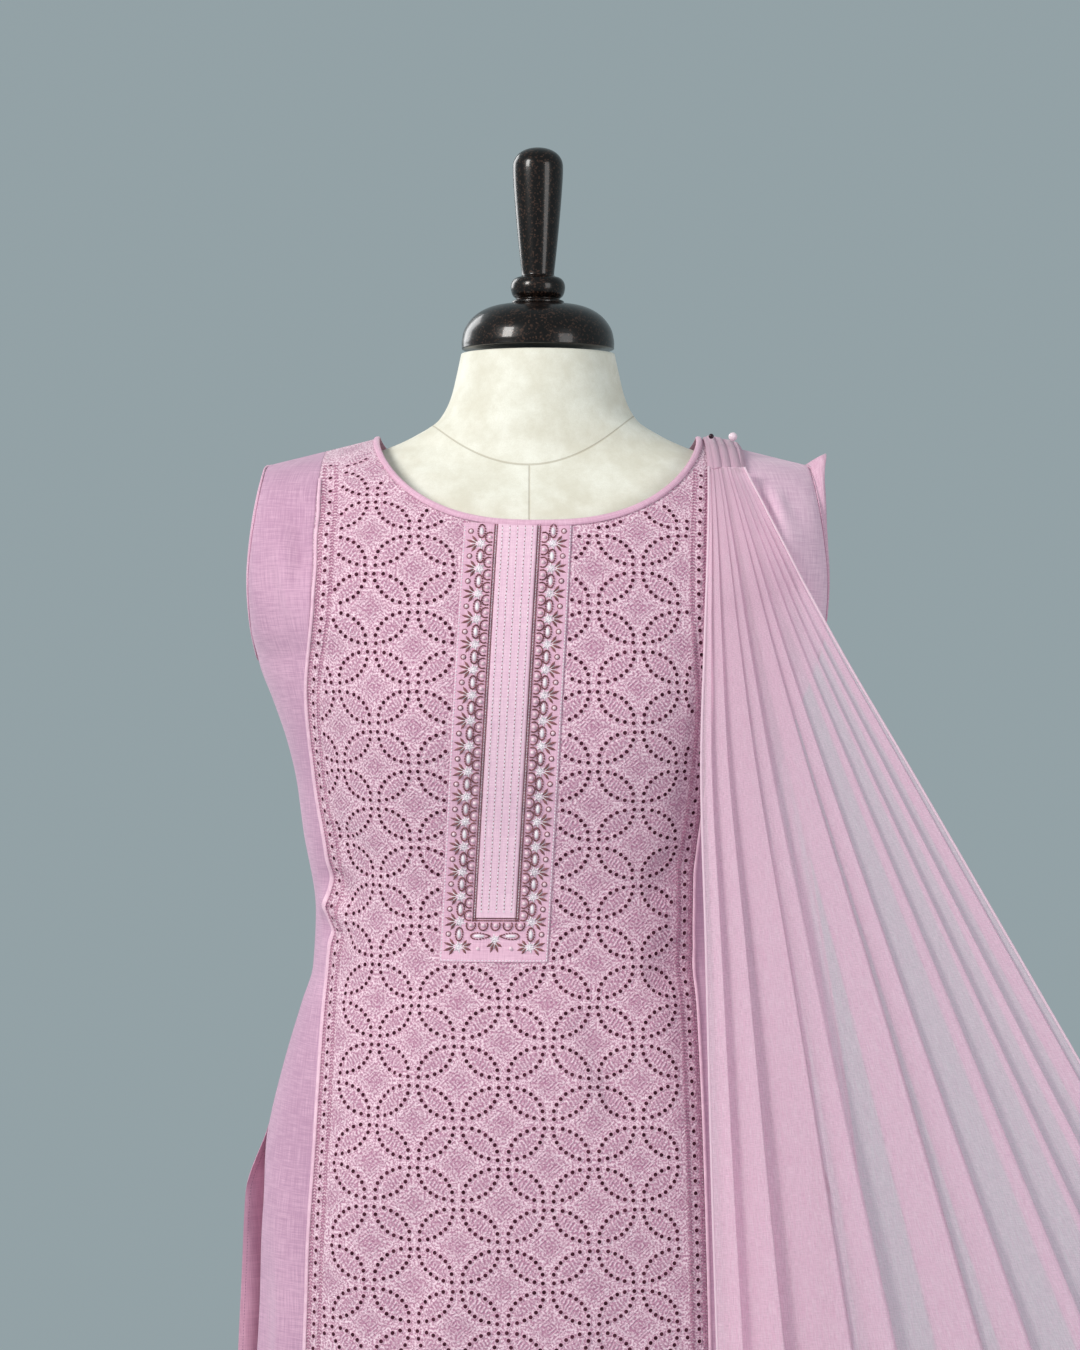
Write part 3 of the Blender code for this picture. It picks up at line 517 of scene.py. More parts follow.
def dome(sides, rows, bottom=0.0):
    """A template for half of an egg, one unit in each axis."""
    levels = [(math.cos(a), math.sin(a)) for a in np.linspace(0, math.pi / 2 * 0.92, rows)]
    if bottom:
        levels = [(1.0, bottom), *levels]
    points, faces = turned_template(levels, sides)
    points = np.concatenate([points, [[0.0, 0.0, 1.0]]])
    last = len(points) - 1
    start = (len(levels) - 1) * sides
    caps = [(start + i, start + (i + 1) % sides, last, last) for i in range(sides)]
    return points, np.concatenate([faces, caps])


GRAIN = dome(5, 2)
BEAD = dome(8, 3, bottom=-0.35)
RIM = turned_template([(1.0, -0.15), (0.87, 0.9), (0.70, 0.25)], 8)
HOLE = (np.array([[math.cos(t), math.sin(t), 0.0] for t in np.arange(8) * math.pi / 4]),
        np.array([(0, 1, 2, 3), (0, 3, 4, 7), (4, 5, 6, 7)]))


def stitches(work, x, z, turn, length, width, height, finish=0, template=GRAIN, base=0.0):
    """Grains of thread on the surface. turn is each one's angle from across, upwards."""
    x, z, turn = (np.atleast_1d(np.asarray(v, float)) for v in (x, z, turn))
    x, z, turn = np.broadcast_arrays(x, z, turn)
    points, across, up, out = axes(x, z)
    points = points + out * base
    cos, sin = np.cos(turn)[:, None], np.sin(turn)[:, None]
    along = across * cos + up * sin
    side = up * cos - across * sin
    sizes = [np.broadcast_to(size, x.shape)[:, None] for size in (length, width, height)]
    work.scatter(template, points, along * sizes[0] / 2, side * sizes[1] / 2, out * sizes[2],
                 finish)


# ---------------------------------------------------------------- finishes


def tone(red, green, blue):
    """A linear colour from 0 to 255 display values."""
    values = np.array([red, green, blue]) / 255.0
    low = values / 12.92
    high = ((values + 0.055) / 1.055) ** 2.4
    return (*np.where(values <= 0.04045, low, high).tolist(), 1.0)


class Finish:
    """A material and the nodes that feed its shader."""

    def __init__(self, name, roughness, metallic=0.0, sheen=0.0, specular=0.3, coat=0.0):
        self.material = bpy.data.materials.new(name)
        self.material.use_nodes = True
        self.tree = self.material.node_tree
        self.shader = self.tree.nodes["Principled BSDF"]
        self.output = self.tree.nodes["Material Output"]
        values = {
            "Roughness": roughness,
            "Metallic": metallic,
            "Sheen Weight": sheen,
            "Sheen Roughness": 0.5,
            "Specular IOR Level": specular,
            "Coat Weight": coat,
            "Coat Roughness": 0.06,
        }
        for socket, value in values.items():
            self.shader.inputs[socket].default_value = value

    def node(self, kind, *feeds, out=0, **settings):
        made = self.tree.nodes.new("ShaderNode" + kind)
        for key, value in settings.items():
            setattr(made, key, value)
        for socket, feed in zip(made.inputs, feeds):
            if isinstance(feed, bpy.types.NodeSocket):
                self.tree.links.new(feed, socket)
            elif feed is not None:
                socket.default_value = feed
        return made.outputs[out]

    def math(self, operation, *feeds):
        return self.node("Math", *feeds, operation=operation)

    def add(self, a, b):
        return self.math("ADD", a, b)

    def less(self, a, b):
        return self.math("SUBTRACT", a, b)

    def times(self, a, b):
        return self.math("MULTIPLY", a, b)

    def over(self, a, b):
        return self.math("DIVIDE", a, b)

    def size(self, a):
        return self.math("ABSOLUTE", a)

    def sine(self, value, length):
        """Waves of the value, one for each length."""
        return self.math("SINE", self.times(value, 2 * math.pi / length))

    def place(self, layer=None):
        """The cloth's lengths across and up, or without a layer the place in the object."""
        if layer is None:
            made = self.tree.nodes.new("ShaderNodeTexCoord")
            vector = made.outputs["Object"]
        else:
            made = self.tree.nodes.new("ShaderNodeUVMap")
            made.uv_map = layer
            vector = made.outputs[0]
        split = self.tree.nodes.new("ShaderNodeSeparateXYZ")
        self.tree.links.new(vector, split.inputs[0])
        return vector, *split.outputs

    def scaled(self, vector, *scale):
        return self.node("VectorMath", vector, scale, operation="MULTIPLY")

    def noise(self, vector, scale, detail=2.0, roughness=0.5):
        made = self.tree.nodes.new("ShaderNodeTexNoise")
        made.inputs["Scale"].default_value = scale
        made.inputs["Detail"].default_value = detail
        made.inputs["Roughness"].default_value = roughness
        self.tree.links.new(vector, made.inputs["Vector"])
        return made.outputs[0]

    def span(self, value, low, high, to_low=0.0, to_high=1.0):
        """The value from low to high, mapped smoothly to the other two."""
        return self.node("MapRange", value, low, high, to_low, to_high,
                         interpolation_type="SMOOTHSTEP")

    def mix(self, factor, a, b):
        made = self.tree.nodes.new("ShaderNodeMix")
        made.data_type = "RGBA"
        for socket, feed in ((made.inputs[0], factor), (made.inputs[6], a), (made.inputs[7], b)):
            if isinstance(feed, bpy.types.NodeSocket):
                self.tree.links.new(feed, socket)
            else:
                socket.default_value = feed
        return made.outputs[2]

    def bump(self, height, distance, strength=1.0):
        made = self.tree.nodes.new("ShaderNodeBump")
        made.inputs["Strength"].default_value = strength
        made.inputs["Distance"].default_value = distance
        self.tree.links.new(height, made.inputs["Height"])
        self.tree.links.new(made.outputs[0], self.shader.inputs["Normal"])

    def colour(self, socket):
        self.tree.links.new(socket, self.shader.inputs["Base Color"])
        return self


def threads(finish, vector, fine=1500.0, slub=60.0):
    """A plain weave's threads both ways, uneven along each."""
    warp = finish.noise(finish.scaled(vector, fine, slub, 1.0), 1.0, 2.0)
    weft = finish.noise(finish.scaled(vector, slub, fine, 1.0), 1.0, 2.0)
    return finish.add(warp, weft)


def lawn_finish(name, light, deep, stitch_rows=()):
    """Plain-woven cotton with a faint check. Rows of stitching lie at given distances from
    the two edges that the layer "edges" holds."""
    f = Finish(name, 0.82, sheen=0.22, specular=0.18)
    vector, u, v, _ = f.place("cloth")
    weave = threads(f, vector)
    mottle = f.noise(vector, 9.0, 2.0)
    check = f.add(f.sine(u, 0.0042), f.sine(v, 0.0046))
    worn = f.add(f.span(weave, 0.6, 1.4), f.times(check, 0.05))
    worn = f.add(f.times(worn, 0.45), f.times(mottle, 0.55))
    colour = f.mix(f.span(worn, 0.25, 0.85), deep, light)
    height = f.add(weave, f.times(check, 0.12))
    if stitch_rows:
        _, near, far, _ = f.place("edges")
        line = None
        for distance in stitch_rows:
            for edge, along in ((near, v), (far, u)):
                off = f.size(f.less(edge, distance))
                row = f.span(off, 0.0002, 0.0008, 1.0, 0.0)
                dash = f.span(f.sine(along, 0.0024), -0.4, 0.1)
                row = f.times(row, dash)
                line = row if line is None else f.math("MAXIMUM", line, row)
        colour = f.mix(f.times(line, 0.55), colour, tone(150, 98, 128))
        height = f.less(height, f.times(line, 1.6))
    f.bump(height, 0.00012, 0.6)
    return f.colour(colour).material


# The eyelet panel's repeat: rings on two lattices, each half a step from the other
STEP_U = 0.0628
STEP_V = 0.0562
RING_U = 0.0286
RING_V = 0.0253
RING_POWER = 2.3
RING_EYELETS = 32
RING_U0, RING_V0 = (float(value) for value in CHART.lengths(np.array(0.0073), np.array(1.0178)))
BORDER = 0.0165


def eyelet_finish():
    """Embroidered cotton: petals where two rings cross, and diamonds in each ring's middle."""
    f = Finish("Eyelet lawn", 0.80, sheen=0.25, specular=0.2)
    vector, u, v, _ = f.place("cloth")
    _, near, far, _ = f.place("edges")
    radii, diamonds = [], []
    for shift in (0.0, 0.5):
        du = f.less(u, RING_U0 + shift * STEP_U)
        dv = f.less(v, RING_V0 + shift * STEP_V)
        du = f.size(f.math("WRAP", du, STEP_U / 2, -STEP_U / 2))
        dv = f.size(f.math("WRAP", dv, STEP_V / 2, -STEP_V / 2))
        ru = f.math("POWER", f.over(du, RING_U), RING_POWER)
        rv = f.math("POWER", f.over(dv, RING_V), RING_POWER)
        radii.append(f.math("POWER", f.add(ru, rv), 1 / RING_POWER))
        diamonds.append(f.add(f.over(du, STEP_U / 4),
                               f.over(dv, STEP_V / 4)))
    inside = [f.span(r, 0.84, 0.90, 1.0, 0.0) for r in radii]
    petal = f.times(inside[0], inside[1])

    grit = f.noise(vector, 620.0, 3.0, 0.65)
    lumps = f.noise(vector, 240.0, 2.0)
    shake = f.times(f.less(lumps, 0.5), 0.0018)
    # The petals lie along one slant or the other, and their stitches cross them in zigzags
    cell_u = f.over(f.less(u, RING_U0), STEP_U / 2)
    cell_v = f.over(f.less(v, RING_V0), STEP_V / 2)
    odd = f.math("MULTIPLY",
                 f.less(f.math("FLOORED_MODULO", cell_u, 2.0), 1.0),
                 f.less(f.math("FLOORED_MODULO", cell_v, 2.0), 1.0))
    facing = f.span(odd, -0.02, 0.02)
    slant = f.add(f.add(f.times(u, 1.5), v), shake)
    counter = f.add(f.less(f.times(u, 1.5), v), shake)
    waves = [f.sine(value, 0.0046) for value in (slant, counter)]
    leaf = f.add(f.times(facing, waves[1]),
                  f.times(f.less(1.0, facing), waves[0]))
    heart, spread = None, None
    for size in diamonds:
        own = f.span(size, 0.86, 0.98, 1.0, 0.0)
        core = f.span(size, 0.40, 0.62, 1.0, 0.35)
        size = f.add(size, f.times(shake, 60.0))
        wave = f.times(f.sine(size, 0.21), own)
        own = f.times(own, core)
        spread = wave if spread is None else f.add(spread, wave)
        heart = own if heart is None else f.math("MAXIMUM", heart, own)
    height = f.times(f.add(f.times(leaf, 0.55), 0.8), petal)
    height = f.add(height, f.times(spread, 0.45))
    height = f.add(height, f.times(grit, 2.2))

    in_field = f.times(f.span(near, BORDER - 0.002, BORDER, 0.0, 1.0),
                      f.span(far, BORDER - 0.002, BORDER, 0.0, 1.0))
    # Colour follows the relief. The ground is lighter on its raised grain, and petals and diamonds
    # are deeper in the grooves between their stitch rows. This is partly thread tone and partly
    # painted light and shade on the relief.
    colour = f.mix(f.span(grit, 0.41, 0.59), tone(188, 132, 158), tone(255, 226, 238))
    petals = f.times(in_field, f.times(petal, f.span(leaf, -0.7, 0.7, 0.62, 0.0)))
    colour = f.mix(petals, colour, tone(178, 116, 148))
    hearts = f.times(in_field, f.times(heart, f.span(spread, -0.8, 0.8, 0.62, 0.15)))
    colour = f.mix(hearts, colour, tone(176, 112, 146))
    colour = f.mix(f.span(lumps, 0.35, 0.7, 0.22, 0.0), colour, tone(188, 126, 156))
    f.bump(height, 0.0005, 0.9)
    return f.colour(colour).material


def thread_finish(name, light, deep, roughness=0.6):
    """Embroidery thread, with fine strands and uneven colour."""
    f = Finish(name, roughness, sheen=0.1, specular=0.3)
    vector, *_ = f.place()
    strands = f.noise(f.scaled(vector, 1.0, 1.0, 2.6), 1600.0, 2.0)
    patches = f.noise(vector, 160.0, 2.0)
    both = f.add(f.times(strands, 0.6), f.times(patches, 0.4))
    f.bump(strands, 0.0001, 0.6)
    return f.colour(f.mix(f.span(both, 0.35, 0.65), deep, light)).material


def hole_shade_finish():
    """Painted shade: a dark disc for the shadowed inside of an eyelet, which is not cut through.
    """
    f = Finish("Eyelet holes, painted shade", 0.95, specular=0.05)
    vector, *_ = f.place()
    both = f.noise(vector, 500.0, 2.0)
    f.bump(both, 0.0001, 0.3)
    return f.colour(f.mix(f.span(both, 0.3, 0.7), tone(48, 20, 30), tone(86, 42, 58))).material


def chiffon_finish(name, clear, deep=tone(249, 220, 234), light=tone(255, 236, 245)):
    """Crinkled sheer cloth. clear is the share of light that one layer lets straight through."""
    f = Finish(name, 0.68, sheen=0.35, specular=0.2)
    vector, *_ = f.place("cloth")
    crinkle = f.noise(f.scaled(vector, 1.0, 0.07, 1.0), 900.0, 3.0, 0.6)
    waves = f.noise(f.scaled(vector, 1.0, 0.10, 1.0), 210.0, 2.0)
    yarn = threads(f, vector, 1900.0, 150.0)
    height = f.add(f.times(crinkle, 1.0), f.times(waves, 0.3))
    height = f.add(height, f.times(yarn, 0.3))
    colour = f.mix(f.span(crinkle, 0.35, 0.65), deep, light)
    f.colour(colour)
    f.bump(height, 0.00025, 0.5)
    through = f.tree.nodes.new("ShaderNodeBsdfTransparent")
    through.inputs[0].default_value = tone(250, 236, 245)
    glow = f.tree.nodes.new("ShaderNodeBsdfTranslucent")
    f.tree.links.new(colour, glow.inputs[0])
    cloth = f.tree.nodes.new("ShaderNodeMixShader")
    cloth.inputs[0].default_value = 0.34
    f.tree.links.new(f.shader.outputs[0], cloth.inputs[1])
    f.tree.links.new(glow.outputs[0], cloth.inputs[2])
    sheer = f.tree.nodes.new("ShaderNodeMixShader")
    open_weave = f.span(f.times(yarn, 0.5), 0.3, 0.7, clear * 0.7, clear * 1.3)
    f.tree.links.new(open_weave, sheer.inputs[0])
    f.tree.links.new(cloth.outputs[0], sheer.inputs[1])
    f.tree.links.new(through.outputs[0], sheer.inputs[2])
    f.tree.links.new(sheer.outputs[0], f.output.inputs["Surface"])
    return f.material


def form_finish():
    """Mottled off-white cloth over the form, with its neck and middle seams."""
    f = Finish("Form cloth", 0.88, sheen=0.1, specular=0.15)
    vector, x, _, z = f.place()
    grain = f.noise(vector, 1100.0, 3.0, 0.6)
    mottle = f.noise(vector, 30.0, 4.0, 0.65)
    off = f.less(x, -0.007)
    neck = f.add(f.times(f.times(off, off), 6.5), 1.396)
    below = f.less(z, neck)
    seam = f.span(f.size(below), 0.0003, 0.0010, 1.0, 0.0)
    middle = f.span(f.size(f.add(x, 0.006)), 0.0002, 0.0009, 1.0, 0.0)
    middle = f.times(middle, f.math("LESS_THAN", below, 0.0))
    lines = f.math("MAXIMUM", seam, middle)
    colour = f.mix(f.span(mottle, 0.3, 0.72), tone(222, 216, 200), tone(243, 240, 229))
    colour = f.mix(f.span(grain, 0.3, 0.8, 0.0, 0.25), colour, tone(205, 196, 178))
    colour = f.mix(f.times(lines, 0.5), colour, tone(165, 152, 130))
    f.bump(f.less(grain, f.times(lines, 3.0)), 0.0002, 0.5)
    return f.colour(colour).material


def lacquer_finish():
    """Near-black brown lacquer with fine metal flake."""
    f = Finish("Flaked lacquer", 0.28, metallic=0.05, specular=0.22, coat=0.30)
    vector, *_ = f.place()
    flake = f.tree.nodes.new("ShaderNodeTexVoronoi")
    flake.inputs["Scale"].default_value = 950.0
    f.tree.links.new(vector, flake.inputs["Vector"])
    bright = f.node("SeparateColor", flake.outputs["Color"])
    glint = f.span(bright, 0.72, 0.98)
    f.bump(f.noise(vector, 700.0, 2.0), 0.0001, 0.25)
    return f.colour(f.mix(glint, tone(14, 9, 8), tone(62, 44, 36))).material


def iron_finish():
    """Black-painted iron."""
    f = Finish("Iron", 0.42, metallic=0.5, specular=0.4)
    vector, *_ = f.place()
    pits = f.noise(vector, 420.0, 3.0)
    f.bump(pits, 0.0002, 0.3)
    return f.colour(f.mix(f.span(pits, 0.3, 0.7), tone(28, 28, 30), tone(52, 51, 53))).material


def floor_finish():
    f = Finish("Floor", 0.9, specular=0.1)
    vector, *_ = f.place()
    clouds = f.noise(vector, 1.6, 2.0)
    return f.colour(f.mix(clouds, tone(214, 219, 220), tone(206, 212, 214))).material


# ---------------------------------------------------------------- the kameez's panels


def edge_lengths(x, z, first, last):
    """Lengths along the cloth from two lines, given as x at each height."""
    own = CHART.across(x, z)
    return own - CHART.across(first(z), z), CHART.across(last(z), z) - own


# Mean length of cloth for each length of x, on the back and beside a slit
BACK_STRETCH = 1.2
SLIT_STRETCH = 2.2


def panel_object(name, x, z, finish, edges, front=True):
    """One panel of the kameez as a shell, and its grid."""
    points, _, _, out = axes(x, z, front)
    grid = points - out * SHELL_INSET
    if not front:
        # Below the slit's top the back's edge spreads past the front's, and turns flat
        near = 1.0 - smooth((SECTION["half_width"](z) - np.abs(x)) / SLIT_BACK_REACH)
        near = near * smooth((SLIT_TOP_Z - z) / SLIT_EASE)
        edge_y = np.where(x < 0, grid[:, -1:, 1], grid[:, :1, 1])
        grid[..., 0] += np.sign(x) * SLIT_SPREAD * near
        grid[..., 1] = between(grid[..., 1], edge_y, near)
    uv = pairs(*CHART.lengths(x, z)) if front else pairs(BACK_STRETCH * x, z)
    return grid_object(name, grid, finish, uv, pairs(*edges)), grid


def slit_lengths(x, z):
    """Length along the cloth from the open slit's edge below its top, and from the hem."""
    from_edge = np.abs(SECTION["half_width"](z) - np.abs(x)) * SLIT_STRETCH
    return np.where(z < SLIT_TOP_Z - 0.004, from_edge, 1.0), z - HEM_Z


neck = -np.cos(np.linspace(0, math.pi, 91)) * NECK_POINT_X
right_top, left_top = (float(SEAM[side](SHOULDER_Z)) for side in ("right", "left"))
centre_top = np.concatenate([
    np.linspace(right_top, -NECK_POINT_X, 18)[:-1],
    neck,
    np.linspace(NECK_POINT_X, left_top, 9)[1:],
])
x, z = panel(SEAM["right"], SEAM["left"], True, centre_top, 170, 70)
centre, centre_grid = panel_object(
    "centre_panel_cloth", x, z, eyelet_finish(), edge_lengths(x, z, SEAM["right"], SEAM["left"])
)
part(centre, "eyelet_lawn", "front_centre_panel")

HEM_STITCHES = (0.0065,)
# One lawn in two copies: the right side's copy is darker as painted shade, and the left side's
# lighter as painted light.
LAWN_RIGHT_PAINTED_SHADE = lawn_finish("Lawn, right side, painted shade", tone(216, 172, 196), tone(184, 140, 168),
                         HEM_STITCHES)
LAWN_LEFT_PAINTED_LIGHT = lawn_finish("Lawn, left side, painted light", tone(244, 206, 224), tone(216, 174, 198),
                        HEM_STITCHES)
LAWN_BACK = lawn_finish("Lawn, back", tone(232, 182, 204), tone(208, 154, 180), HEM_STITCHES)


def slit_edge(z):
    """Half width of the front at its open slit, which is held back so that the back shows."""
    return SECTION["half_width"](z) - SLIT_SPREAD * smooth((SLIT_TOP_Z - z) / SLIT_EASE)


x, z = panel(lambda z: -slit_edge(z), SEAM["right"], True,
             np.linspace(-SHOULDER_TIP_X, right_top, 36), 170, 60)
side_right, side_right_grid = panel_object(
    "side_right_cloth", x, z, LAWN_RIGHT_PAINTED_SHADE, slit_lengths(x, z)
)
part(side_right, "lawn", "front_side_right")
x, z = panel(SEAM["left"], slit_edge, True,
             np.linspace(left_top, SHOULDER_TIP_X, 40), 170, 60)
side_left, side_left_grid = panel_object("side_left_cloth", x, z, LAWN_LEFT_PAINTED_LIGHT, slit_lengths(x, z))
part(side_left, "lawn", "front_side_left")

back_top = np.concatenate([
    np.linspace(SHOULDER_TIP_X, NECK_POINT_X, 20)[:-1],
    neck[::-1],
    np.linspace(-NECK_POINT_X, -SHOULDER_TIP_X, 20)[1:],
])
x, z = panel(SECTION["half_width"], lambda z: -SECTION["half_width"](z), False, back_top, 130, 50)
back, back_grid = panel_object("back_cloth", x, z, LAWN_BACK, slit_lengths(x, z), front=False)
part(back, "lawn", "kameez_back")

# ---------------------------------------------------------------- piping, binding and bands

PIPING = thread_finish("Piping", tone(242, 204, 220), tone(222, 176, 198))
TRIM_LAWN = lawn_finish("Trim lawn", tone(238, 194, 214), tone(212, 162, 186),
                        stitch_rows=(0.0082,))


def surface_strip(x_of, heights, offsets, lifts):
    """A strip down the front: x at each height, and offsets across it with their lifts."""
    z = np.asarray(heights)[:, None]
    x = x_of(z) + np.asarray(offsets)[None, :]
    z, x = np.broadcast_arrays(z, x)
    return raised(x, z, np.asarray(lifts)[None, :])


def domed(half_width, height, count):
    """Offsets and lifts of a rounded strip's section."""
    turn = np.linspace(-1, 1, count) * math.pi / 2
    return half_width * np.sin(turn), 0.0001 + height * np.cos(turn)


def eased_loops(loops, times):
    """Closed loops of points with their bends softened."""
    for _ in range(times):
        loops = (np.roll(loops, 1, axis=1) + 2 * loops + np.roll(loops, -1, axis=1)) / 4
    return loops


PIPING_TOP_Z = SHOULDER_Z - 0.034
heights = np.linspace(HEM_Z + 0.0005, PIPING_TOP_Z, 420)
for side in SEAM:
    strip = surface_strip(SEAM[side], heights, *domed(0.0012, 0.0011, 7))
    piping = grid_object("piping_" + side, strip, PIPING, thickness=0)
    part(piping, "piping", "seam_piping_" + side)


def neck_loop(reach, steps):
    """Points round the neck, a reach outside its edge: over the front, then over the back."""
    turn = math.pi * np.arange(2 * steps) / steps
    across = -np.cos(turn)
    front = np.arange(2 * steps) <= steps
    x = across * (NECK_POINT_X + reach)
    scoop = np.where(front, FRONT_SCOOP, BACK_SCOOP) + reach
    z = shoulder_line(np.maximum(np.abs(x), NECK_POINT_X)) - scoop * neck_curve(across)
    y = np.where(front, garment_y(x, z, True), garment_y(x, z, False))
    y[[0, steps]] = SHOULDER_Y
    return np.stack([x, y, z], axis=1)


# The binding is rounded: its rows reach from one side of the neck's edge to the other
NECK_LENGTH = 0.75
BINDING_REACH = 0.0017
BINDING_HALF_WIDTH = 0.0023
BINDING_HEIGHT = 0.0015
round_it = np.linspace(1, -1, 9) * math.pi / 2
reaches = BINDING_REACH + BINDING_HALF_WIDTH * np.sin(round_it)
loops = eased_loops(np.array([neck_loop(reach, 120) for reach in reaches]), 3)
bulge = 0.0003 + BINDING_HEIGHT * np.cos(round_it)
binding_grid = loops + grid_normals(loops, ring=True) * bulge[:, None, None]
uv = pairs(reaches[:, None], np.linspace(0, NECK_LENGTH, loops.shape[1]))
binding = grid_object("neck_binding_cloth", binding_grid, TRIM_LAWN, uv, uv, ring=True)
part(binding, "lawn_trim", "neck_binding")


def armhole_loop(side, inside):
    """Points round an armhole, a distance inside its edge: up the front, then down the back."""
    rises = 1.0 - (1.0 - np.linspace(0, 1, 34)[1:-1]) ** 1.6
    tip_z = shoulder_line(SHOULDER_TIP_X)
    half_width = float(SECTION["half_width"](UNDERARM_Z))
    loop = [(side * half_width, 0.0, UNDERARM_Z - inside)]
    for front, order in ((True, rises), (False, rises[::-1])):
        z = between(UNDERARM_Z, tip_z, order)
        half_widths = SECTION["half_width"](z)
        along = garment_y(0.0, z, front) - garment_y(half_widths, z, front)
        level = np.minimum(inside * 0.95 / np.abs(along), 0.75)
        share = np.maximum((1 - level**ROUNDNESS) ** (1 / ROUNDNESS), 1 - inside / half_widths)
        x = side * half_widths * share
        loop += list(zip(x, garment_y(x, z, front), z))
        if front:
            x = SHOULDER_TIP_X - inside
            loop.append((side * x, SHOULDER_Y, float(shoulder_line(x))))
    return np.array(loop)


ARMHOLE_LENGTH = 0.46
BAND_WIDTH = 0.0100
BAND_LIFTS = np.array([-0.0004, 0.0007, 0.0010, 0.0009, 0.0009, 0.0008, 0.0004])
# The left band's outer rows stand up at the shoulder: how far each goes, and out and up for it
FLARE = (0.0150, 0.0098, 0.0052, 0.0018)
FLARE_OUT = 0.72
FLARE_UP = 0.62
FLARE_AT = 30
FLARE_STEPS = 11.0
for name, side in (("right", -1), ("left", 1)):
    widths = np.linspace(-0.0004, BAND_WIDTH, len(BAND_LIFTS))
    loops = np.array([armhole_loop(side, max(width, 0.0)) for width in widths])
    if side < 0:
        loops = loops[:, ::-1]
    loops = eased_loops(loops, 2)
    if side > 0:
        tip = (np.arange(loops.shape[1]) - FLARE_AT) / FLARE_STEPS
        flare = np.exp(-(tip**2)) * (1.0 + 0.22 * np.sin(3.1 * tip))
        for row, reach in enumerate(FLARE):
            loops[row, :, 0] += FLARE_OUT * reach * flare
            loops[row, :, 2] += FLARE_UP * reach * flare
    loops = loops + grid_normals(loops, ring=True) * BAND_LIFTS[:, None, None]
    run = np.linspace(0, ARMHOLE_LENGTH, loops.shape[1])
    uv = pairs(run, widths[:, None])
    edges = pairs(np.ones_like(run), widths[:, None])
    band = grid_object("armhole_" + name + "_cloth", loops, TRIM_LAWN, uv, edges, ring=True)
    part(band, "lawn_trim", "armhole_band_" + name)

# ---------------------------------------------------------------- eyelets

PLACKET_TOP_X = -0.014
PLACKET_BOTTOM_X = -0.031
PLACKET_TOP_Z = 1.350
PLACKET_BOTTOM_Z = 1.046
PLACKET_HALF_WIDTH = 0.0375
EYELET_RADIUS = 0.0021
HOLE_RADIUS = 0.76 * EYELET_RADIUS
LEAST_APART = 0.0036
BORDER_EYELETS_OFF = 0.0079
BORDER_EYELETS_STEP = 0.0085
WORK_SPLIT_Z = 0.86
# Dark discs in the eyelets' middles are painted shade, as the cloth is not cut through.
HOLE_SHADE = hole_shade_finish()
ROSE_THREAD = thread_finish("Rose thread", tone(240, 196, 214), tone(206, 148, 176))


def placket_x(z):
    """The placket's leaning middle line."""
    lean = (PLACKET_TOP_Z - z) / (PLACKET_TOP_Z - PLACKET_BOTTOM_Z)
    return between(PLACKET_TOP_X, PLACKET_BOTTOM_X, lean)


def eyelet_places():
    """u and v of the eyelets on the rings, with none nearer than a rim to another."""
    found = []
    turns = 2 * math.pi * (np.arange(RING_EYELETS) + 0.5) / RING_EYELETS
    ring_u, ring_v = (
        np.sign(wave(turns)) * np.abs(wave(turns)) ** (2 / RING_POWER) for wave in (np.cos, np.sin)
    )
    for shift in (0.0, 0.5):
        for i in range(-5, 6):
            for j in range(-14, 12):
                u = RING_U0 + (i + shift) * STEP_U + RING_U * ring_u
                v = RING_V0 + (j + shift) * STEP_V + RING_V * ring_v
                found.append(np.stack([u, v], axis=1))
    places = np.concatenate(found)
    places = places[(places[:, 1] > 0.004) & (places[:, 1] < CHART.up[-1])]
    places = places[np.lexsort((places[:, 0], places[:, 1]))]
    kept, cells = [], {}
    for place in places:
        cell = (int(place[0] // LEAST_APART), int(place[1] // LEAST_APART))
        near = (cells.get((cell[0] + a, cell[1] + b), []) for a in (-1, 0, 1) for b in (-1, 0, 1))
        if all(np.hypot(*(place - other)) > LEAST_APART for group in near for other in group):
            kept.append(place)
            cells.setdefault(cell, []).append(place)
    return np.array(kept)


def on_field(x, z):
    """Whether the embroidered field holds a place: inside its borders, neck and hem."""
    near, far = edge_lengths(x, z, SEAM["right"], SEAM["left"])
    top = neckline(np.clip(x, -0.155, 0.125), True)
    drop = 0.0075 + 0.010 * smooth((np.abs(x) - 0.080) / 0.03)
    inside = (near > BORDER) & (far > BORDER) & (z < top - drop) & (z > HEM_Z + 0.014)
    beside = np.abs(x - placket_x(z)) > PLACKET_HALF_WIDTH + 0.0022
    return inside & (beside | (z < PLACKET_BOTTOM_Z - 0.0025))


def eyelets(work, x, z):
    """Thread rims, and in their middles dark discs of painted shade for the holes."""
    stitches(work, x, z, 0.0, 2 * EYELET_RADIUS, 2 * EYELET_RADIUS, 0.00045, 0, RIM)
    points, across, up, out = axes(x, z)
    work.scatter(HOLE, points + out * 0.00014, across * HOLE_RADIUS, up * HOLE_RADIUS, out, 1)


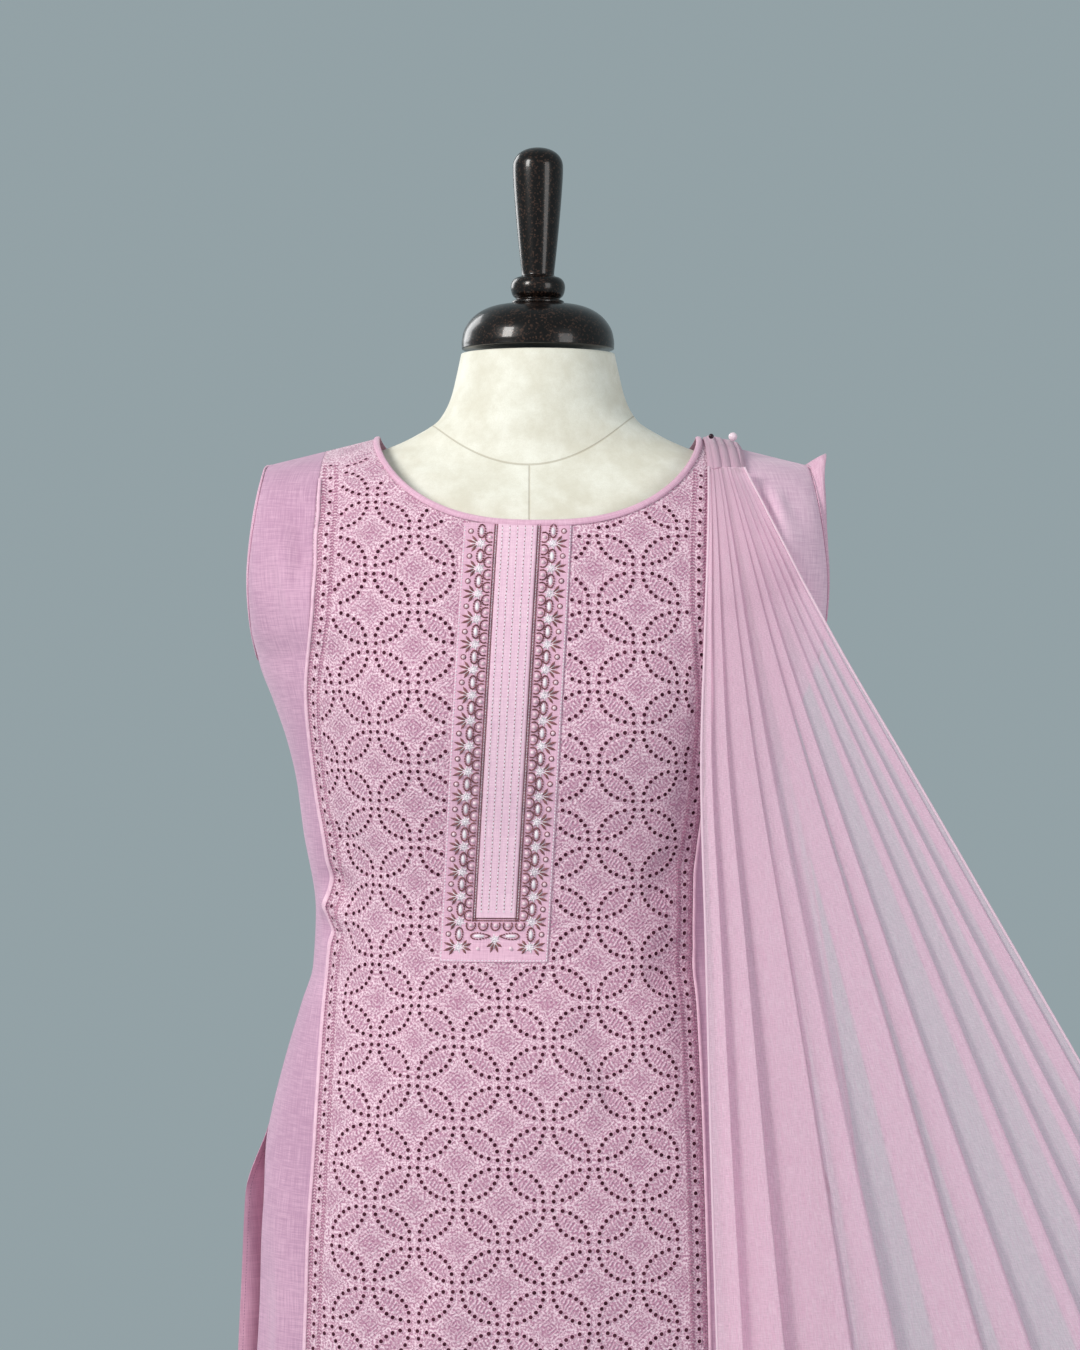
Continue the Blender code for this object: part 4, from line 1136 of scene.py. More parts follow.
u, v = eyelet_places().T
eyelet_x, eyelet_z = CHART.place(u, v)
keep = on_field(eyelet_x, eyelet_z)
eyelet_x, eyelet_z = eyelet_x[keep], eyelet_z[keep]
jitter = rng.uniform(-0.00018, 0.00018, (2, len(eyelet_x)))
eyelet_x, eyelet_z = eyelet_x + jitter[0], eyelet_z + jitter[1]
heights = np.arange(HEM_Z + 0.010, 1.398, BORDER_EYELETS_STEP)
border_x, border_z = [], []
for side, sign in (("right", 1), ("left", -1)):
    base_u = CHART.across(SEAM[side](heights), heights) + sign * BORDER_EYELETS_OFF
    x, z = CHART.place(base_u, np.interp(heights, CHART.z, CHART.up))
    border_x.append(x)
    border_z.append(z)
border_x, border_z = np.concatenate(border_x), np.concatenate(border_z)
keep = border_z < np.where(border_x > 0, 1.390, 1.400)
eyelet_x = np.concatenate([eyelet_x, border_x[keep]])
eyelet_z = np.concatenate([eyelet_z, border_z[keep]])
for name, chosen in (("upper", eyelet_z >= WORK_SPLIT_Z), ("lower", eyelet_z < WORK_SPLIT_Z)):
    work = Work()
    eyelets(work, eyelet_x[chosen], eyelet_z[chosen])
    part(work.object("eyelets_" + name, [ROSE_THREAD, HOLE_SHADE]), "eyelet_lawn")

# Herringbone along both sides of the panel
DEEP_ROSE = thread_finish("Deep rose thread", tone(208, 148, 174), tone(152, 92, 124))
work = Work()
heights = np.arange(HEM_Z + 0.006, 1.398, 0.0022)
for side, sign in (("right", 1), ("left", -1)):
    base_u = CHART.across(SEAM[side](heights), heights)
    v = np.interp(heights, CHART.z, CHART.up)
    for distance, turn in ((0.0026, 0.7), (0.0042, -0.7), (0.0118, 0.7), (0.0134, -0.7)):
        x, z = CHART.place(base_u + sign * distance, v)
        keep = z < np.where(x > 0, 1.392, 1.399)
        wobble = rng.normal(0, 0.06, keep.sum())
        stitches(work, x[keep], z[keep], turn * sign + wobble, 0.0030, 0.0011, 0.0007)
part(work.object("border_herringbone", [DEEP_ROSE]), "eyelet_lawn")

# ---------------------------------------------------------------- the placket

BROWN = thread_finish("Brown thread", tone(158, 102, 106), tone(92, 50, 56), 0.5)
SILVER = thread_finish("Silver thread", tone(255, 248, 252), tone(222, 206, 216), 0.4)
PEARL = thread_finish("Pearl beads", tone(250, 226, 234), tone(226, 188, 202), 0.2)
PLACKET_CLOTH = lawn_finish("Placket cloth", tone(238, 194, 214), tone(212, 164, 188))
STRIP_CLOTH = lawn_finish("Placket strip", tone(244, 208, 224), tone(226, 184, 206))
MOTIF_STEP = 0.0176
MOTIF_OFF = 0.0250
FOOT_Z = 1.0560
THREADS_TOP_Z = 1.3515
STRIP_ROWS_X = (-0.0105, -0.0053, 0.0000, 0.0054, 0.0106)
# The brown cord is two rows of thread that lean opposite ways
CORD_ROWS_X = (0.0141, 0.0159)
CORD_ROWS_Z = (1.0762, 1.0744)
CORD_LEANS = (0.45, -0.45)
CORD_STEP = 0.00125
EDGING_STEP = 0.0024
SCALLOPS_X = (-0.0172, -0.0086, 0.0, 0.0086, 0.0172)


def placket_patch(name, half_width, bottom, top, lift, columns, rows, finish):
    """A flat rectangle of the placket, a lift above the panel."""
    edge = np.concatenate([[-half_width], np.linspace(-half_width, half_width, columns),
                           [half_width]])
    lifts = np.full(columns + 2, lift)
    lifts[[0, -1]] = 0.0
    z = np.linspace(bottom, top, rows)
    grid = surface_strip(placket_x, z, edge, lifts)
    return grid_object(name, grid, finish, pairs(edge, z[:, None]), thickness=0)


patch = placket_patch("placket_cloth", PLACKET_HALF_WIDTH + 0.0004, PLACKET_BOTTOM_Z - 0.0004,
                      1.3525, 0.0005, 36, 130, PLACKET_CLOTH)
part(patch, "placket_embroidery", "placket_border")
patch = placket_patch("placket_strip_cloth", 0.0138, 1.0765, 1.3530, 0.0011, 18, 130, STRIP_CLOTH)
part(patch, "placket_strip", "placket_strip")

work = Work()
BROWN_AT, SILVER_AT, PEARL_AT = 0, 1, 2


def on_placket(across, z, turn, length, width, height, finish, template=GRAIN, base=0.0005):
    """Grains on the placket, where across is measured from its middle line."""
    across, z = np.broadcast_arrays(np.asarray(across, float), np.asarray(z, float))
    stitches(work, placket_x(z) + across, z, turn, length, width, height, finish, template, base)


def beads(across, z, radius, finish=PEARL_AT):
    on_placket(across, z, 0.0, 2 * radius, 2 * radius, radius * 1.1, finish, BEAD)


def ring_of(across, z, wide, tall, count, thread, finish, height=0.0011, point=0.0):
    """Thread grains end to end round an oval, or a teardrop that comes to a point."""
    for turn in 2 * math.pi * np.arange(count) / count:
        pointed = (1.0 + math.copysign(1.0, point) * math.cos(turn)) ** 1.5 / 2
        narrow = 1.0 - abs(point) * 0.5 * pointed
        step = math.atan2(tall * narrow * math.cos(turn), -wide * math.sin(turn))
        size = math.pi * (wide + tall) / count * 1.25
        on_placket(across + wide * math.cos(turn), z + tall * narrow * math.sin(turn), step, size,
                   thread, height, finish)


def starburst(across, z, reach=0.0046):
    """White grains out from one place, long and short by turns."""
    for i in range(12):
        turn = 2 * math.pi * i / 12 + 0.2
        size = reach * (1.0 if i % 2 else 0.68)
        on_placket(across + 0.55 * size * math.cos(turn), z + 0.55 * size * math.sin(turn), turn,
                   size, 0.0011, 0.0012, SILVER_AT)
    beads(across, z, 0.0011, SILVER_AT)


def fan(across, z, facing, reach=0.0090):
    """Four brown petals spread out one way, with white thread between them."""
    for spread in (-0.95, -0.34, 0.34, 0.95):
        turn = facing + spread
        size = reach * (0.82 if abs(spread) > 0.5 else 1.0)
        on_placket(across + 0.55 * size * np.cos(turn), z + 0.55 * size * np.sin(turn), turn,
                   size * 0.92, 0.0019, 0.0016, BROWN_AT)
    for spread in (-0.64, 0.0, 0.64):
        turn = facing + spread
        on_placket(across + 0.36 * reach * np.cos(turn), z + 0.36 * reach * np.sin(turn), turn,
                   reach * 0.55, 0.0007, 0.0012, SILVER_AT)


def scallop(across, z, facing):
    """A brown loop open on one side, round a bead."""
    for turn in np.linspace(-1.9, 1.9, 9) + facing:
        on_placket(across + 0.0031 * math.cos(turn), z + 0.0035 * math.sin(turn),
                   turn + math.pi / 2, 0.0022, 0.0013, 0.0016, BROWN_AT)
    beads(across, z, 0.0016)


def cord(across, z, turn):
    on_placket(across, z, turn, 0.0022, 0.0008, 0.0012, BROWN_AT)


def edging(across, z, turn):
    on_placket(across, z, turn, 0.0020, 0.0009, 0.0008, SILVER_AT)


# Rows of stitching down the plain strip
z = np.arange(1.081, 1.351, 0.0027)
for across in STRIP_ROWS_X:
    drift = rng.normal(0, 0.00012, len(z))
    on_placket(across + drift, z, math.pi / 2, 0.0018, 0.0010, 0.0005, SILVER_AT, base=0.0012)
    on_placket(across + drift, z + 0.00135, math.pi / 2, 0.0010, 0.0008, 0.0003, BROWN_AT,
               base=0.0012)

# Down both sides: white thread and cord, scallops, ovals with rings, stars with fans, edging
for side, facing in ((-1, math.pi), (1, 0.0)):
    z = np.arange(1.0765, THREADS_TOP_Z, 0.0021)
    lean = np.where(np.arange(len(z)) % 2, 0.9, 2.2)
    on_placket(side * 0.0150, z, lean, 0.0018, 0.0009, 0.0011, SILVER_AT)
    z = np.arange(1.0745, THREADS_TOP_Z, CORD_STEP)
    for across, lean in zip(CORD_ROWS_X, CORD_LEANS):
        cord(side * across, z, math.pi / 2 - side * lean)
    z = np.arange(FOOT_Z + 1.25 * MOTIF_STEP, 1.3470, MOTIF_STEP / 2)
    scallop(side * 0.0190, z, facing)

    z = np.arange(FOOT_Z + MOTIF_STEP / 2, 1.3475, MOTIF_STEP)
    across = side * MOTIF_OFF
    ring_of(across, z, 0.0025, 0.0046, 16, 0.0014, BROWN_AT, 0.0016)
    on_placket(across, z, math.pi / 2, 0.0068, 0.0030, 0.0011, SILVER_AT, BEAD)
    ring_of(side * 0.0325, z, 0.0017, 0.0017, 8, 0.0008, BROWN_AT, 0.0007)
    beads(side * 0.0325, z, 0.0014)
    z = np.arange(FOOT_Z, 1.349, MOTIF_STEP)
    starburst(across, z)
    fan(side * 0.0272, z, facing)

    z = np.arange(PLACKET_BOTTOM_Z + 0.0010, THREADS_TOP_Z, EDGING_STEP)
    edging(side * 0.0370, z, math.pi / 2)

# Across the placket's foot
across = np.arange(-0.0158, 0.0159, CORD_STEP)
for z, lean in zip(CORD_ROWS_Z, CORD_LEANS):
    cord(across, z, lean)
scallop(np.array(SCALLOPS_X), 1.0712, -math.pi / 2)
starburst(0.0, 1.0612, 0.0042)
fan(0.0, 1.0598, -math.pi / 2, 0.0082)
for side in (-1, 1):
    ring_of(side * 0.0102, 1.0636, 0.0066, 0.0027, 20, 0.0012, BROWN_AT, 0.0014, -0.9 * side)
    on_placket(side * 0.0110, 1.0636, 0.0, 0.0086, 0.0026, 0.0010, SILVER_AT, BEAD)
    beads(side * 0.0115, 1.0550, 0.0015)
    fan(side * (MOTIF_OFF - 0.0022), FOOT_Z, math.pi / 2 + side * math.pi / 2, 0.0074)
edging(np.arange(-0.0365, 0.0366, EDGING_STEP), PLACKET_BOTTOM_Z + 0.0006, 0.0)
part(work.object("placket_embroidery", [BROWN, SILVER, PEARL]),
                  "placket_embroidery")

# ---------------------------------------------------------------- the dupatta

FanRow = namedtuple("FanRow", "z inner outer reach_inner reach_outer depth")
FRONT_FAN = [
    FanRow(0.008, 0.1360, 0.935, 0.160, 0.134, 0.0130),
    FanRow(0.350, 0.1320, 0.738, 0.156, 0.126, 0.0120),
    FanRow(0.700, 0.1260, 0.537, 0.152, 0.118, 0.0105),
    FanRow(0.900, 0.1200, 0.422, 0.149, 0.111, 0.0090),
    FanRow(1.060, 0.1160, 0.330, 0.146, 0.106, 0.0070),
    FanRow(1.180, 0.1130, 0.261, 0.140, 0.102, 0.0045),
    FanRow(1.270, 0.1160, 0.209, 0.126, 0.096, 0.0026),
    FanRow(1.345, 0.1195, 0.170, 0.100, 0.082, 0.0014),
    FanRow(1.394, 0.1215, 0.147, 0.064, 0.062, 0.0006),
]
BACK_FAN = [
    FanRow(0.560, 0.0420, 0.290, 0.176, 0.160, 0.0120),
    FanRow(0.780, 0.0560, 0.258, 0.160, 0.144, 0.0105),
    FanRow(1.000, 0.0720, 0.225, 0.140, 0.124, 0.0080),
    FanRow(1.200, 0.0900, 0.190, 0.126, 0.112, 0.0050),
    FanRow(1.330, 0.1120, 0.168, 0.112, 0.098, 0.0016),
    FanRow(1.394, 0.1215, 0.154, 0.080, 0.078, 0.0006),
]
# Knife pleats: where each folds across the fan, and how far its fold laps the next panel
Pleat = namedtuple("Pleat", "across lap")
DUPATTA_WIDTH = 1.05
FRONT_PLEATS = [
    Pleat(0.034, 0.016), Pleat(0.098, 0.034), Pleat(0.205, 0.062), Pleat(0.308, 0.034),
    Pleat(0.463, 0.054), Pleat(0.560, 0.038), Pleat(0.700, 0.022), Pleat(0.795, 0.011),
    Pleat(0.872, 0.016), Pleat(0.950, 0.026),
]
BACK_PLEATS = [
    Pleat(0.06, 0.030), Pleat(0.19, 0.050), Pleat(0.34, 0.040), Pleat(0.50, 0.060),
    Pleat(0.66, 0.045), Pleat(0.81, 0.050), Pleat(0.94, 0.030),
]


def fan_path(pleats, panel_steps, fold_steps):
    """The cloth's way across the fan: the share across, how much of a lap is added, and how
    far out each point lies, from -1 under to 1 on top."""
    share, lap, out = [], [], []
    edges = [Pleat(0.0, 0.0), *pleats, Pleat(1.0, 0.0)]
    for left, right in zip(edges, edges[1:]):
        t = np.linspace(0, 1, panel_steps)
        share.append(between(left.across, right.across, t))
        lap.append(between(-left.lap, right.lap, t))
        out.append(between(-1.0, 1.0, smooth(t) * 0.4 + t * 0.6))
        if right.lap:
            t = np.linspace(0, 1, fold_steps + 2)[1:-1]
            share.append(np.full(fold_steps, right.across))
            lap.append(between(right.lap, -right.lap, t))
            out.append(between(1.0, -1.0, t))
    return [np.concatenate(part) for part in (share, lap, out)]


def fan_grid(fan, pleats, front, rows, panel_steps=13, fold_steps=7):
    """Points of a pleated fall of the dupatta, and its lengths across and up."""
    share, lap, out = fan_path(pleats, panel_steps, fold_steps)
    table = curves(fan)
    z = between(fan[-1].z, fan[0].z, np.linspace(0, 1, rows) ** 1.5)[::-1][:, None]
    inner, outer, near, far, depth = (table[name](z) for name in FanRow._fields[1:])
    width = outer - inner
    gathered = smooth((z - 0.55) / 0.8)
    most = (DUPATTA_WIDTH / width - 1.0) / (4 * sum(pleat.lap for pleat in pleats))
    laps = lap[None, :] * np.minimum(1.0 + 0.2 * gathered, most)
    wander = 0.006 * np.sin(z * 9.0 + share[None, :] * 23.0) * (1 - gathered)
    across = np.clip(share[None, :] + laps + wander * np.sin(share * math.pi)[None, :], 0, 1)
    x = inner + width * across
    half_width = SECTION["half_width"](z)
    garment = np.where(x < half_width, np.abs(garment_y(np.minimum(x, half_width), z, front)), 0)
    sag = 0.6 * np.sin(share[None, :] * 31.0 + z * 6.0) * (1 - gathered)
    reach = np.maximum(between(near, far, across), garment + 0.0035 + depth * 1.1)
    reach = reach + depth * (out[None, :] * 0.55 + sag * 0.25)
    grid = np.stack([x, -reach if front else reach, np.broadcast_to(z, x.shape)], axis=-1)
    for _ in range(2):
        middle = (grid[:, :-2] + 2 * grid[:, 1:-1] + grid[:, 2:]) / 4
        grid = np.concatenate([grid[:, :1], middle, grid[:, -1:]], axis=1)
    reference = grid[len(grid) // 3]
    run = np.concatenate([[0], np.cumsum(np.linalg.norm(np.diff(reference, axis=0), axis=1))])
    uv = pairs(run, z * 1.05)
    return (grid, uv) if front else (grid[:, ::-1].copy(), uv[:, ::-1].copy())


TUBE_SIDES = 8


def tube(path, radius):
    """A thin round tube along a path."""
    path = np.asarray(path)
    along = np.gradient(path, axis=0)
    along /= np.linalg.norm(along, axis=1, keepdims=True)
    side = np.cross(along, [0.0, 1.0, 0.001])
    side /= np.linalg.norm(side, axis=1, keepdims=True)
    other = np.cross(along, side)
    turn = (2 * np.pi * np.arange(TUBE_SIDES) / TUBE_SIDES)[None, :, None]
    return path[:, None] + radius * (np.cos(turn) * side[:, None] + np.sin(turn) * other[:, None])


CHIFFON = chiffon_finish("Chiffon", 0.42)
CHIFFON_EDGE = chiffon_finish("Rolled chiffon", 0.03)
# The bundle's chiffon is the same cloth in darker tones: painted shade.
SHADED_GATHERED_CHIFFON = chiffon_finish("Gathered chiffon, painted shade", 0.03, tone(222, 182, 204),
                                  tone(242, 208, 224))
HEM_RADIUS = 0.0009
for name, fan_rows, pleats, front, rows in (
    ("front", FRONT_FAN, FRONT_PLEATS, True, 120),
    ("back", BACK_FAN, BACK_PLEATS, False, 80),
):
    grid, uv = fan_grid(fan_rows, pleats, front, rows)
    fall = grid_object("dupatta_" + name + "_cloth", grid, CHIFFON, uv, uv, thickness=0)
    part(fall, "chiffon", "dupatta_" + name)
    hems = Work()
    for path in (grid[:, 0], grid[:, -1], min(grid, key=lambda row: row[0, 2])):
        hems.add(tube(path, HEM_RADIUS), grid_faces(len(path), TUBE_SIDES, ring=True))
    hem = part(hems.object("dupatta_" + name + "_hems", [CHIFFON_EDGE]), "chiffon")

# The pinned bundle over the shoulder
BUNDLE_INNER_X = 0.1205
BUNDLE_OUTER_X = 0.1485
BUNDLE_FOOT_Z = 1.3905
BUNDLE_RIDGES = 4.5
c = np.linspace(0, 1, 90)
arched = np.minimum(1.0, 6 * np.minimum(c, 1 - c) + 0.12)
rise = np.sin(math.pi / 2 * np.linspace(0, 1, 27))
loops, lifts = [], []
for front, order in ((True, rise), (False, rise[::-1][1:])):
    for share in order:
        x = between(BUNDLE_INNER_X, BUNDLE_OUTER_X, c)
        z = between(BUNDLE_FOOT_Z, shoulder_line(x), share)
        y = garment_y(x, z, front) if share < 0.9999 else np.full(len(c), SHOULDER_Y)
        loops.append(np.stack([x, y, z], axis=1))
        wander = 0.35 * share * (1 if front else -1)
        ridges = np.abs(np.sin(math.pi * (c**0.8 * BUNDLE_RIDGES + wander)))
        lifts.append(0.0008 + arched * (0.0022 + 0.0014 * ridges**0.7))
bundle_grid = np.array(loops)
out = grid_normals(bundle_grid)
for _ in range(4):
    out[1:-1] = (out[:-2] + 2 * out[1:-1] + out[2:]) / 4
bundle_grid = bundle_grid + out * np.array(lifts)[..., None]
uv = pairs(c * 0.16, np.linspace(0, 0.09, len(loops))[:, None])
bundle = grid_object("dupatta_shoulder_cloth", bundle_grid, SHADED_GATHERED_CHIFFON, uv, uv,
                     thickness=0.0008)
part(bundle, "chiffon", "dupatta_shoulder")

# ---------------------------------------------------------------- pins


def middle_of(node):
    """Middle and radius of a ball."""
    low, high = (np.array(corner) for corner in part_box(node))
    return (low + high) / 2, float((high - low).max()) / 2


BALL = turned_template(
    [(math.sin(a), math.cos(a)) for a in np.linspace(0.02, math.pi - 0.02, 16)], 28
)
PEARL_PIN = thread_finish("Pearl pin", tone(246, 226, 234), tone(226, 196, 210), 0.14)
DARK_PIN = thread_finish("Dark pin", tone(60, 30, 44), tone(34, 16, 26), 0.22)
for node, finish, slot_name in (
    ("pin_pearl", PEARL_PIN, "pearl"), ("pin_dark", DARK_PIN, "dark_pin"),
):
    middle, radius = middle_of(node)
    work = Work()
    size = np.full((1, 3), radius)
    work.scatter(BALL, middle[None], size * [1, 0, 0], size * [0, 1, 0], size * [0, 0, 1])
    part(work.object(node + "_head", [finish]), slot_name, node)

# ---------------------------------------------------------------- the salwar

CROTCH_X = -0.030
CROTCH_Z = 0.600
CUFF_Z = 0.060
Inset = namedtuple("Inset", "z inset")
SALWAR_INSET = Curve(
    [Inset(0.400, 0.060), Inset(0.600, 0.050), Inset(0.800, 0.026), Inset(0.925, 0.008),
     Inset(0.950, 0.0045), Inset(0.995, 0.0045)],
    "inset",
)
Leg = namedtuple("Leg", "side cuff_x cuff_half_width cuff_half_depth")
Fold = namedtuple("Fold", "size number phase")
LEG_FOLDS = (Fold(0.00416, 5, 0.4), Fold(0.00288, 9, 2.1), Fold(0.00192, 14, 4.0))
LEGS = {
    "right": Leg(-1, -0.120, 0.066, 0.070),
    "left": Leg(1, 0.050, 0.078, 0.070),
}


def body_y(x, z, inset, front):
    """Y of the plain body section at z, a distance inside the kameez."""
    share = x / (SECTION["half_width"](z) - inset)
    y_back = (SECTION["back"](z) - inset) * arch(share)
    y_front = -(SECTION["front"](z) - inset + mound(x, z)) * arch(share)
    return np.where(front, y_front, y_back)


def salwar_leg(leg, outer_steps, inner_steps, heights):
    """Points of a leg, cuff to waist, with soft upright folds that deepen towards the cuff."""
    seam = CROTCH_X + leg.side * 0.0003
    t = np.linspace(0, 1, outer_steps + 1)
    back_to_front = np.linspace(0, 1, inner_steps + 1)[1:-1]
    turn = np.concatenate([math.pi * (t - 0.5), math.pi * (0.5 + back_to_front)])
    outer = np.arange(len(turn)) <= outer_steps
    rows = []
    for z in heights:
        inset = float(SALWAR_INSET(z))
        reach = float(SECTION["half_width"](z)) - inset - leg.side * seam
        narrowing = float(np.clip((CROTCH_Z - z) / (CROTCH_Z - CUFF_Z), 0, 1)) ** 0.8
        x = np.where(outer, seam + leg.side * reach * np.cos(turn), seam)
        y = body_y(x, z, inset, turn < 0)
        seam_back, seam_front = (float(body_y(seam, z, inset, side)) for side in (False, True))
        y[~outer] = between(seam_back, seam_front, back_to_front)
        cuff_x = leg.cuff_x + leg.side * leg.cuff_half_width * np.cos(turn)
        cuff_y = leg.cuff_half_depth * np.sin(turn)
        x, y = between(x, cuff_x, narrowing), between(y, cuff_y, narrowing)
        fold = sum(
            size * np.sin(number * turn + phase + 1.3 * math.sin(z * 5 + phase))
            for size, number, phase in LEG_FOLDS
        )
        fold = fold * smooth((0.62 - z) / 0.25) * smooth((z - CUFF_Z - 0.02) / 0.09)
        away = np.stack([x - x.mean(), y - y.mean()], axis=1)
        away /= np.linalg.norm(away, axis=1, keepdims=True)
        x, y = x + away[:, 0] * fold, y + away[:, 1] * fold
        rows.append(np.stack([x, y, np.full(len(x), z)], axis=1))
    grid = np.array(rows)
    return grid if leg.side > 0 else grid[:, ::-1].copy()


SALWAR = lawn_finish("Salwar lawn", tone(234, 190, 210), tone(206, 158, 182),
                     stitch_rows=(0.0065, 0.020, 0.034))
LEG_ROUND = 0.62
WAIST_ROUND = 0.9
WAIST_STEPS = 140
heights = np.concatenate([
    np.linspace(CUFF_Z, CROTCH_Z, 90), np.linspace(CROTCH_Z, BAND_BOTTOM_Z, 26)[1:],
])
for name, leg in LEGS.items():
    grid = salwar_leg(leg, 72, 22, heights)
    uv = pairs(np.linspace(0, LEG_ROUND, grid.shape[1]), heights[:, None])
    edges = pairs(np.ones(grid.shape[1]), heights[:, None] - CUFF_Z)
    # Above the crotch the legs meet, and have no cloth between them
    faces = grid_faces(*grid.shape[:2], ring=True)
    corners = grid.reshape(-1, 3)[faces]
    meeting = (np.abs(corners[..., 0] - CROTCH_X) < 0.002).all(axis=1)
    meeting &= corners[..., 2].mean(axis=1) > CROTCH_Z
    leg_cloth = new_object("salwar_" + name, grid.reshape(-1, 3), faces[~meeting], SALWAR,
                           uv.reshape(-1, 2), edges.reshape(-1, 2))
    part(thickened(leg_cloth, SHELL), "salwar_lawn", "salwar_leg_" + name)


def level_ring(z, inset, count):
    """Points round the plain body section at z."""
    turn = 2 * math.pi * np.arange(count) / count
    x = (SECTION["half_width"](z) - inset) * np.sin(turn)
    return np.stack([x, body_y(x, z, inset, np.cos(turn) > 0), np.full(count, z)], axis=1)


band_rows = np.linspace(BAND_BOTTOM_Z + 0.001, BAND_TOP_Z, 12)
waist_grid = np.array([level_ring(z, float(SALWAR_INSET(z)), WAIST_STEPS) for z in band_rows])
uv = pairs(np.linspace(0, WAIST_ROUND, WAIST_STEPS), band_rows[:, None])
edges = pairs(np.ones(WAIST_STEPS), band_rows[:, None] - BAND_BOTTOM_Z)
waistband = grid_object("salwar_waistband_cloth", waist_grid, SALWAR, uv, edges, ring=True)
part(waistband, "salwar_lawn", "salwar_waistband")

# ---------------------------------------------------------------- form, cap and stand

FORM_BOTTOM_Z = 0.800
FORM_TOP_Z = 1.480
FORM_SIDES = 128
FormRow = namedtuple("FormRow", "z half_width front back roundness")
FORM_TOP = curves([
    FormRow(1.345, 0.197, 0.096, 0.102, 2.2),
    FormRow(1.370, 0.192, 0.081, 0.088, 2.1),
    FormRow(1.388, 0.184, 0.067, 0.073, 1.9),
    FormRow(1.400, 0.150, 0.060, 0.064, 1.7),
    FormRow(1.410, 0.113, 0.057, 0.059, 1.7),
    FormRow(1.420, 0.090, 0.056, 0.057, 1.9),
    FormRow(1.432, 0.072, 0.056, 0.057, 2.0),
    FormRow(1.448, 0.0635, 0.056, 0.057, 2.0),
    FormRow(1.466, 0.0590, 0.0545, 0.055, 2.0),
    FormRow(1.480, 0.0560, 0.0530, 0.053, 2.0),
])
FORM_INSET = Curve(
    [Inset(0.800, 0.0360), Inset(0.925, 0.0165), Inset(0.960, 0.0125), Inset(1.010, 0.0115),
     Inset(1.040, 0.0070), Inset(1.345, 0.0085)],
    "inset",
)
rows = [
    level_ring(z, float(FORM_INSET(z)), FORM_SIDES) for z in np.linspace(FORM_BOTTOM_Z, 1.340, 60)
]
turn = 2 * math.pi * np.arange(FORM_SIDES) / FORM_SIDES
for z in np.linspace(1.345, FORM_TOP_Z, 70):
    half_width, front, back_depth, roundness = (
        float(FORM_TOP[name](z)) for name in FormRow._fields[1:]
    )
    depth = np.where(np.cos(turn) > 0, -front, back_depth)
    x = half_width * np.sin(turn)
    y = depth * arch(np.sin(turn), roundness)
    rows.append(np.stack([x, y, np.full(FORM_SIDES, z)], axis=1))
points = np.concatenate([*rows, [[0, 0, FORM_BOTTOM_Z]], [[0, 0, FORM_TOP_Z]]])
faces = grid_faces(len(rows), FORM_SIDES, ring=True).tolist()
low_cap, high_cap = len(points) - 2, len(points) - 1
last_ring = (len(rows) - 1) * FORM_SIDES
for i in range(FORM_SIDES):
    j = (i + 1) % FORM_SIDES
    faces.append((j, i, low_cap))
    faces.append((last_ring + i, last_ring + j, high_cap))
form = new_object("form_cloth", points, faces, form_finish())
part(form, "form_cloth", "form_body")


def lathe(name, profile, finish, slot_name, node, easings=3):
    """A turned solid from (radius, height) points, top to bottom, with its bends eased."""
    profile = np.array(profile)
    for _ in range(easings):
        near = profile[:-1] * 0.75 + profile[1:] * 0.25
        far = profile[:-1] * 0.25 + profile[1:] * 0.75
        eased = np.stack([near, far], axis=1).reshape(-1, 2)
        profile = np.concatenate([profile[:1], eased, profile[-1:]])
    rows = [(max(radius, 0.00002), height) for radius, height in profile]
    points, faces = turned_template(rows[::-1], 96)
    part(new_object(name, points, faces, finish), slot_name, node)


LACQUER = lacquer_finish()
IRON = iron_finish()
lathe("cap_turning", [
    (0.0000, 1.5165), (0.0190, 1.5165), (0.0340, 1.5150), (0.0465, 1.5085), (0.0540, 1.4985),
    (0.0558, 1.4890), (0.0556, 1.4850), (0.0556, 1.4835), (0.0535, 1.4835), (0.0000, 1.4835),
], LACQUER, "flaked_lacquer", "neck_cap")
lathe("finial_turning", [
    (0.0000, 1.6310), (0.0080, 1.6300), (0.0145, 1.6265), (0.0178, 1.6215), (0.0186, 1.6160),
    (0.0176, 1.5980), (0.0152, 1.5700), (0.0128, 1.5470), (0.0118, 1.5390), (0.0120, 1.5368),
    (0.0172, 1.5355), (0.0198, 1.5315), (0.0199, 1.5270), (0.0185, 1.5225), (0.0158, 1.5205),
    (0.0158, 1.5195), (0.0190, 1.5190), (0.0192, 1.5168), (0.0180, 1.5166), (0.0000, 1.5166),
], LACQUER, "flaked_lacquer", "finial")
